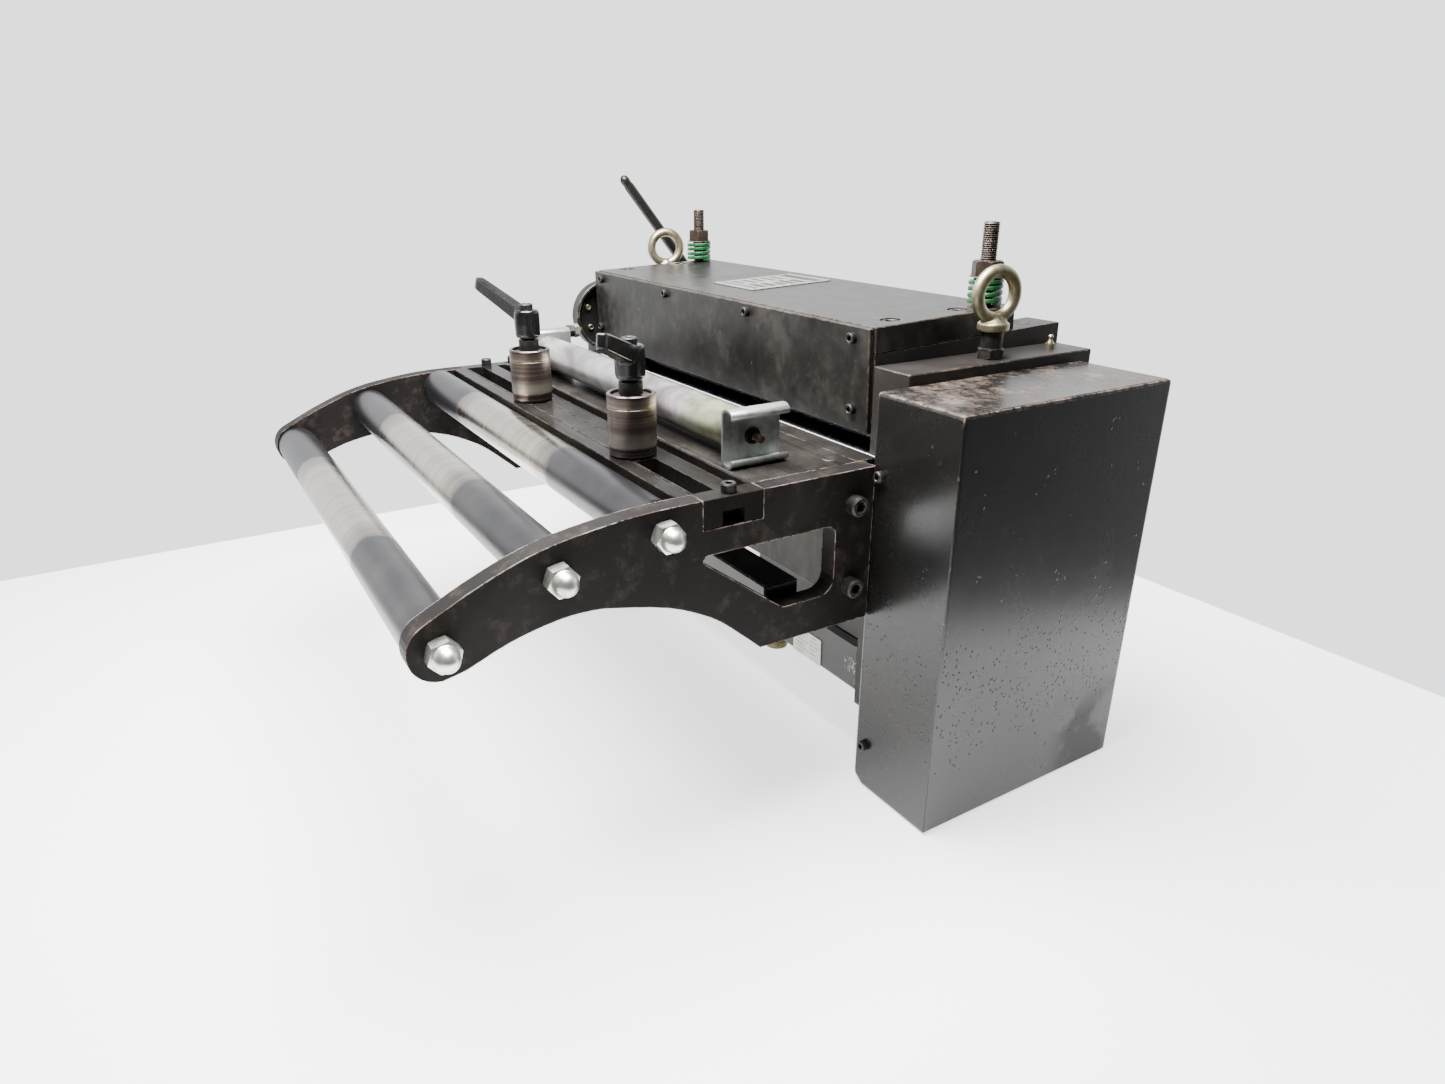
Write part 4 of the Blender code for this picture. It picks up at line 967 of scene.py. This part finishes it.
def build_entry_rollers():
    """The three idle rollers, and their axles between two acorn nuts each."""
    near, far = -96.8, -720.8
    for number, (y, z) in enumerate(ENTRY_ROLLERS, start=1):
        left, right = span_of(f"entry_roller_{number}")
        middle, half = (left + right) / 2, (right - left) / 2
        form = Form().lathe((middle, y, z), "X", [
            (9, half - 2), (16.5, half - 2), (17, half), (20.6, half), (22, half - 1.4), (22, 1.4 - half),
            (20.6, -half), (17, -half), (16.5, 2 - half), (9, 2 - half), (9, half - 2)], 96)
        body = f"entry_roller_{'abc'[number - 1]}"
        form.done(f"entry_roller_tube_{number}", ROLLER, body, "roller_steel", (f"entry_roller_{number}",))
        axle = Form()
        for seat, axis, sign in ((near, "X", 1), (far, "-X", -1)):
            axle.nut((seat, y, z), axis, 12.9, 12.4, 8.0, spin=0.26 + number)
            axle.lathe((seat + sign * 12.0, y, z), axis, [
                (0, 12.6), (2.8, 12.3), (5.4, 11.1), (7.7, 8.8), (9.2, 5.6), (9.9, 2.2), (10.2, 0.8),
                (10.6, 0.2), (10.6, -0.6), (0, -0.6)], 48)
        axle.lathe(((near + far) / 2, y, z), "X", [(0, 310), (8, 310), (8, -310), (0, -310)], 32)
        axle.done(f"entry_axle_nuts_{number}", ZINC, "machine", "zinc", (f"entry_axle_{number}",))


def lever_arm(form, root, tip, wide, tall):
    """Solid cast arm with flat sides, tapering to a round end."""
    a, b = Vector(root), Vector(tip)
    run = (b - a).normalized()
    side = run.cross(Vector((0, 0, 1))).normalized()
    up = side.cross(run).normalized()
    w, h = wide / 2, tall / 2
    half = [(w * 0.80, -h), (w, -h * 0.84), (w, h * 0.84), (w * 0.80, h)]
    section = half + [(-x, y) for x, y in half[::-1]]
    round_end = w * 1.4
    places = [(a, (1.12, 1.12)), (a + run * 14, (1.04, 1.04)), (b - run * round_end, (0.84, 0.90))]
    for step in range(1, 6):
        turn = math.radians(step * 16)
        scale = (0.84 * math.cos(turn * 0.9), 0.90 - 0.28 * (1.0 - math.cos(turn)))
        places.append((b + run * round_end * (math.sin(turn) - 1.0), scale))
    form.sweep([(point, side, up, scale) for point, scale in places], section)


def build_guides():
    """Edge guides: the turned roller, the clamp lever over it and the neck between them."""
    for label, tip_z in (("front", 51.5), ("rear", 57.0)):
        x, y = centre_of(f"guide_roller_{label}").xy
        base = (x, y, TABLE_Z)
        roller = Form().lathe(base, "Z", [
            (9.4, 54.2), (12.4, 54.2), (12.6, 54.6), (16.8, 54.6), (17.0, 53.4), (18.4, 53.4), (18.6, 56.4),
            (19.2, 57.0), (21.0, 57.0), (22.0, 56.0), (22.0, 45.6), (21.8, 45.4), (21.8, 44.9), (22.0, 44.7),
            (22.0, 10.2), (21.5, 9.7), (21.5, 1.4), (20.6, 0.5), (9.4, 0.5), (9.4, 54.2)], 96)
        roller.done(
            f"guide_roller_turned_{label}", GUIDE, f"{label}_guide_roller", "guide_steel",
            (f"guide_roller_{label}",))
        lever = Form().lathe(base, "Z", [
            (0, 99.0), (11.2, 99.0), (12.9, 97.6), (13.5, 95.0), (13.7, 84.0), (13.4, 72.0), (12.2, 69.6),
            (6.5, 67.4), (6.5, 70.0), (0, 70.0)], 64)
        far_x, far_y = lever_reach(label, x, y)
        root = (x + far_x * 0.03, y + far_y * 0.03, 25.5)
        lever_arm(lever, root, (x + far_x, y + far_y, tip_z), 13.0, 15.5)
        lever.done(
            f"clamp_lever_cast_{label}", ENAMEL, f"{label}_clamp", "enamel_black", (f"clamp_lever_{label}",),
            melt=0.8, smooth=180)
        cap_screws(
            f"clamp_lever_screw_{label}", OXIDE, "black_oxide", [(x, y, TABLE_Z + 98.6)], "Z", 7.2, 6.6,
            body=f"{label}_clamp")
        neck = Form().lathe(base, "Z", [
            (5.8, 69.6), (6.0, 69.0), (6.0, 67.1), (10.4, 67.0), (10.8, 66.6), (10.8, 55.6), (9.0, 55.4),
            (9.0, 1.0), (5.8, 1.0)], 64)
        neck.done(f"guide_neck_{label}", OXIDE, f"{label}_carriage", "black_oxide")


def lever_reach(label, x, y):
    """Where the CAD lever's far end lies from its hub, less the end's radius."""
    ends = []
    for axis, middle in enumerate((x, y)):
        low, high = span_of(f"clamp_lever_{label}", axis)
        far = max(low - middle, high - middle, key=abs)
        ends.append(far - math.copysign(4.0, far))
    return ends


def curl(web, toward):
    """Section of the zinc bracket: a web whose two lips roll away from the tube."""
    foot, top = TABLE_Z + 0.3, -13.0
    out, up, sheet = 9.0, 5.4, 2.2
    outer, inner = [], []
    for rise, start, end in ((foot + up, 395, 180), (top - up, 180, -35)):
        for i in range(19):
            angle = math.radians(start + (end - start) * i / 18)
            for side, wide, tall in ((outer, out, up), (inner, out - sheet, up - sheet)):
                side.append((web + toward * (out + wide * math.cos(angle)), rise + tall * math.sin(angle)))
    return outer + inner[::-1]


def build_hold_down():
    """Zinc roller over the strip, its two brackets, its pin and their bolts."""
    left, right = span_of("hold_down_tube")
    middle, half = (left + right) / 2, (right - left) / 2
    y, z = -86.0, -41.0
    tube = Form().lathe((middle, y, z), "X", [
        (7, half - 1.5), (15.6, half - 1.5), (16.0, half), (18.6, half), (19.3, half - 0.8),
        (19.3, 0.8 - half), (18.6, -half), (16.0, -half), (15.6, 1.5 - half), (7, 1.5 - half),
        (7, half - 1.5)], 96)
    tube.done("hold_down_roller", TUBE, "tube_roller", "zinc", ("hold_down_tube",))
    for side, web, toward in (("right", right + 0.9, 1), ("left", left - 0.9, -1)):
        bracket = Form().prism(curl(web, toward), (-116.5, -57.0), bevel=0.3)
        bracket.done(
            f"hold_down_bracket_{side}", BRACKET_ZINC, "machine", "zinc", (f"tube_bracket_{side}",),
            smooth=30)
    end = half + 2.6
    shaft = Form().lathe((middle, y, z), "X", [(0, end), (6.2, end), (6.2, -end), (0, -end)], 32)
    shaft.lathe((right + 3.0, y, z), "X", [
        (0, 0.8), (5.4, 0.8), (5.8, 2.0), (7.4, 2.0), (7.8, 1.4), (7.8, 0), (0, 0)], 48)
    shaft.nut((left - 3.1, y, z), "-X", 8.4, 6.0, 3.0)
    shaft.done("hold_down_pin", OXIDE, "machine", "black_oxide", ("hold_down_shaft",))
    tip = Form().thread((right + 2.0, y + 3.0, z - 1.5), "X", 3.6, 0.0, 12.0, 1.2)
    tip.done("hold_down_bolt_end", RUSTY, "machine", "black_oxide")
    bolt_x, bolt_z = left - 11.0, -19.0
    nut = Form().nut((bolt_x, -49.0, bolt_z), "Y", 8.6, 7.0, 3.6, spin=0.4)
    nut.lathe((bolt_x, -55.0, bolt_z), "Y", [(0, 16.0), (3.2, 16.0), (3.6, 15.4), (3.6, 0), (0, 0)], 20)
    nut.done("far_bracket_nut", ZINC, "machine", "zinc")
    lock = Form().nut((bolt_x, -57.0, bolt_z), "Y", 8.8, 7.0, 3.6, spin=0.9)
    lock.done("far_bracket_lock_nut", OXIDE, "machine", "black_oxide")


def build_yoke():
    """Screws and name plate of the yoke, and the upper feed roll."""
    pose = tilted()
    spots = [(x, 34.1, z) for x, z in (
        (-718.5, 34.5), (-535.5, 34.5), (-354.0, 34.5), (-176.0, 32.0), (-175.0, -34.5), (-731.0, -31.0))]
    cap_screws("cover_screws", OXIDE, "black_oxide", spots, "-Y", 5.2, 5.4, body="yoke", pose=pose)
    sunk = Form()
    for x in (-173.0, -722.0):
        for y in (75.0, 161.0):
            socket_head(sunk, (x, y, 32.2), "Z", 8.8, 11.2)
        sunk.lathe((x, 255.0, 19.5), "Z", [
            (0, 0.1), (5.0, 0.1), (5.2, 0.35), (8.6, 0.35), (8.9, 0.1), (9.9, 0.06), (10.0, 0.35),
            (10.3, 0.25), (10.3, -0.2), (0, -0.2)], 48)
    sunk.done("block_screw_heads", OXIDE, "yoke", "black_oxide", pose=pose)

    plate_look, ink_look = label_looks("rating_plate", (0.14, 0.137, 0.128), (0.004, 0.004, 0.004), 0.55)
    face = 45.1
    plate = Form().box((-507.0, -421.0), (86.0, 200.0), (face - 1.0, face), bevel=0.3)
    for x in (-503.0, -425.0):
        for y in (90.0, 196.0):
            plate.lathe((x, y, face - 0.1), "Z", [(0, 1.2), (1.4, 1.1), (2.0, 0.6), (2.2, 0.0), (0, 0)], 20)
    plate.done("rating_plate", plate_look, "yoke", "plate_silver", ("nameplate",), pose=pose)
    bars = [((-501.0, -427.0), (94.0, 99.0)), ((-501.0, -427.0), (178.0, 191.0))]
    for i in range(5):
        y = 105.0 + 14.0 * i
        bars.append(((-499.0, -472.0 + 4.0 * (i % 2)), (y, y + 6.0)))
        bars.append(((-462.0 + 5.0 * (i % 3), -430.0), (y, y + 9.0)))
    printed = Form()
    for xs, ys in bars:
        printed.box(xs, ys, (face, face + INK), bevel=0.03, segments=1)
    printed.done("rating_plate_bars", ink_look, "yoke", "plate_silver", pose=pose)

    upper = Form().lathe((ROLLS_X, ROLLS_Y, UPPER_ROLL_Z), "X", [
        (0, 279.5), (11.4, 279.5), (12, 279), (12, 253.5), (36.5, 253.5), (37.5, 252.5), (37.5, -252.5),
        (36.5, -253.5), (12, -253.5), (12, -279), (11.4, -279.5), (0, -279.5)], 128)
    upper.done("upper_roll_ground", ROLL, "upper_roll", "chrome_roll", ("upper_feed_roll",))


def helix(x, y, low, high, outer, turns, wide, tall):
    """Path and section of rectangular spring wire with eased corners and a flat seat at each end."""
    section = []
    for sx, sz in ((1, -1), (1, 1), (-1, 1), (-1, -1)):
        corner = [(sx * (wide / 2 - 0.9), sz * tall / 2), (sx * wide / 2, sz * (tall / 2 - 0.9))]
        section += corner if sx * sz < 0 else corner[::-1]
    count = int(40 * turns)
    flat = 0.06
    path = []
    for i in range(count + 1):
        share = i / count
        rise = min(max((share - flat) / (1 - 2 * flat), 0.0), 1.0)
        rise = rise * rise * (3 - 2 * rise) * 0.35 + rise * 0.65
        angle = math.tau * turns * share
        out = Vector((math.cos(angle), math.sin(angle), 0.0))
        middle = Vector((x, y, low + tall / 2 + (high - low - tall) * rise))
        path.append((middle + out * (outer - wide / 2), out, Vector((0, 0, 1)), (1.0, 1.0)))
    return path, section


def build_springs():
    """Green die springs, and the threaded studs that hold them down with a nut and a washer."""
    for side in ("right", "left"):
        node = f"die_spring_{side}"
        x, y = centre_of(node).xy
        z0, z1 = span_of(node, 2)
        path, section = helix(x, y, z0, z1, 17.0, 4.5, 6.2, 4.4)
        coil = Form().sweep(path, section).done(
            f"die_spring_coil_{side}", SPRING, "machine", "spring_green", (node,), smooth=40)
        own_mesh(coil)
        top = span_of(f"spring_stud_{side}", 2)[1]
        seat = z1 + 0.3
        stud = Form().thread((x, y, 0.0), "Z", 8.0, seat - 1.0, top - 0.6, 2.0)
        stud.lathe((x, y, 0.0), "Z", [(0, seat), (7.4, seat), (7.4, -70), (0, -70)], 32)
        stud.nut((x, y, seat), "Z", 15.6, 15.6, 7.6, spin=0.5)
        stud.lathe((x, y, seat), "Z", [
            (7.5, 0.9), (16.4, 0.9), (16.8, 0.5), (16.8, 0.1), (7.5, 0.1), (7.5, 0.9)], 48)
        lug = (x - 20.0, -149.3) if side == "right" else (-743.7, x + 20.0)
        stud.box(lug, (y - 21, y + 21), (-90.0, -60.3), bevel=1.2)
        stud.done(f"spring_stud_threaded_{side}", STUD, "machine", "black_oxide", (f"spring_stud_{side}",))


def build_eyes():
    """Lifting eyes on their spacer nuts."""
    for side, normal in (("right", (0.992, -0.127)), ("left", (0.97, -0.24))):
        x, y = centre_of(f"eye_spacer_{side}").xy
        seat = 9.5
        spacer = Form().nut((x, y, seat + 0.3), "Z", 13.4, 9.6, 6.5, spin=0.2)
        spacer.lathe((x, y, seat), "Z", [
            (6.4, 24.6), (9.2, 24.6), (10.2, 23.8), (10.2, 9.8), (6.4, 9.8), (6.4, 24.6)], 48)
        spacer.done(f"eye_spacer_turned_{side}", OXIDE, "machine", "black_oxide", (f"eye_spacer_{side}",))
        eye = Form().torus((x, y, seat + 58.2), (*normal, 0.0), 21.4, 6.0, squash=1.02)
        eye.lathe((x, y, seat), "Z", [
            (0, 41), (6.0, 41), (7.2, 38.4), (9.4, 36.0), (12.6, 33.8), (14.4, 32.6), (14.8, 31.6),
            (14.8, 26.6), (14.0, 25.4), (0, 25.2)], 64)
        eye.done(
            f"lifting_eye_{side}", YELLOW_ZINC, "machine", "yellow_zinc", (f"eyebolt_{side}",),
            melt=0.9, smooth=180)


def build_release():
    """Release lever: a round bar with a waist under its rounded end, on a short boss."""
    pivot = Vector((-803.0, 250.0, -10.9))
    tip = Vector((-803.0, 113.0, 160.0))
    run = (tip - pivot).normalized()
    turn = run.to_track_quat("Z", "X").to_matrix()
    reach = (tip - pivot).length
    lever = Form().lathe(pivot, turn, [
        (0, reach + 7.0), (2.6, reach + 6.4), (5.0, reach + 4.4), (6.4, reach + 1.6), (6.9, reach - 3),
        (6.2, reach - 6), (6.9, reach - 9), (7.3, reach - 14), (7.3, 0), (0, 0)], 48)
    lever.lathe(pivot, "X", [(0, 6.8), (12.6, 6.8), (13.8, 5.6), (13.8, -8.6), (12.6, -9.8), (0, -9.8)], 64)
    lever.done("release_lever_bar", LEVER_BAR, "release", "black_oxide", ("release_lever",), smooth=40)


def build_drive():
    """Lower feed roll and the two toothed pulleys with their flanges."""
    lower = Form().lathe((ROLLS_X, ROLLS_Y, LOWER_ROLL_Z), "X", [
        (0, 388), (14.2, 388), (15, 387), (15, 296), (44, 296), (45, 295), (45, -295), (44, -296),
        (15, -296), (15, -343), (14.2, -343.5), (0, -343.5)], 128)
    lower.done("lower_roll_ground", ROLL, "lower_roll", "chrome_roll", ("lower_feed_roll",))
    for node, body, (y, z), radius, bore in (
        ("roll_pulley", "lower_roll", (ROLLS_Y, LOWER_ROLL_Z), 46.0, 15.3),
        ("motor_pulley", "motor_shaft", MOTOR_SHAFT, 28.0, 0.0),
    ):
        wheel = Form()
        count = 4 * int(radius * 0.62)
        outline = [(radius - (0.0, 0.0, 2.2, 2.2)[i % 4], math.tau * i / count) for i in range(count)]
        wheel.close(wheel.rings([
            [turned((x, y, z), TURN["X"], reach, angle, 0.0) for reach, angle in outline]
            for x in BELT_EDGES]))
        flange = [(bore, 1.8), (radius + 4.6, 1.8), (radius + 5, 1.4), (radius + 4.2, 0), (bore, 0)]
        if bore:
            flange.append(flange[0])
        for start, axis in ((BELT_EDGES[1], "X"), (BELT_EDGES[0], "-X")):
            wheel.lathe((start, y, z), axis, flange, 72)
        if not bore:
            wheel.lathe((-88.0, y, z), "-X", [(0, 61.0), (10.4, 61.0), (11, 60.4), (11, 0), (0, 0)], 40)
        wheel.done(f"{node}_toothed", OXIDE, body, "black_oxide", (node,))


def build_motor():
    """The motor's label with its printed bars, and its round socket."""
    plate_look, ink_look = label_looks("motor_label", (0.66, 0.66, 0.64), (0.30, 0.30, 0.29), 0.5)
    label = Form().box((-262.0, -212.0), (39.3, 40.1), (-334.0, -302.0), bevel=0.2)
    label.done("motor_label", plate_look, "machine", "plate_silver", ("motor_plate",))
    printed = Form()
    for i in range(6):
        z = -331.0 + 5.0 * i
        for xs in ((-259.0, -240.0 + 6.0 * (i % 2)), (-231.0, -215.0 - 3.0 * (i % 3))):
            printed.box(xs, (39.2, 39.2 + INK), (z, z + 1.6), bevel=0.03, segments=1)
    printed.done("motor_label_bars", ink_look, "machine", "plate_silver")
    x, y = centre_of("motor_connector").xy
    shell = Form().lathe((x, y, -338.0), "Z", [
        (0, 0), (10.8, 0), (11.4, -0.6), (11.4, -5.6), (12.8, -6.2), (13.5, -7.2), (13.5, -11.0),
        (13.0, -11.4), (13.0, -12.2), (13.5, -12.6), (13.5, -19.6), (12.6, -21.2), (9.6, -21.4),
        (9.2, -17.0), (0, -17.0)], 64)
    shell.done("motor_connector_shell", OLIVE, "machine", "olive_plating", ("motor_connector",))


def build_guard_screws():
    """The two socket screws in the belt guard's front."""
    spots = [(x, -0.1, z) for x, z in ((-90.0, -73.0), (-88.0, -349.0))]
    cap_screws(
        "guard_cap_screws", OXIDE, "black_oxide", spots, "-Y", 5.2, 5.6,
        stands_for=("guard_screw_upper", "guard_screw_lower"))


build_stage()
build_frames()
build_arm_hardware()
build_entry_rollers()
build_guides()
build_hold_down()
build_yoke()
build_springs()
build_eyes()
build_release()
build_drive()
build_motor()
build_guard_screws()
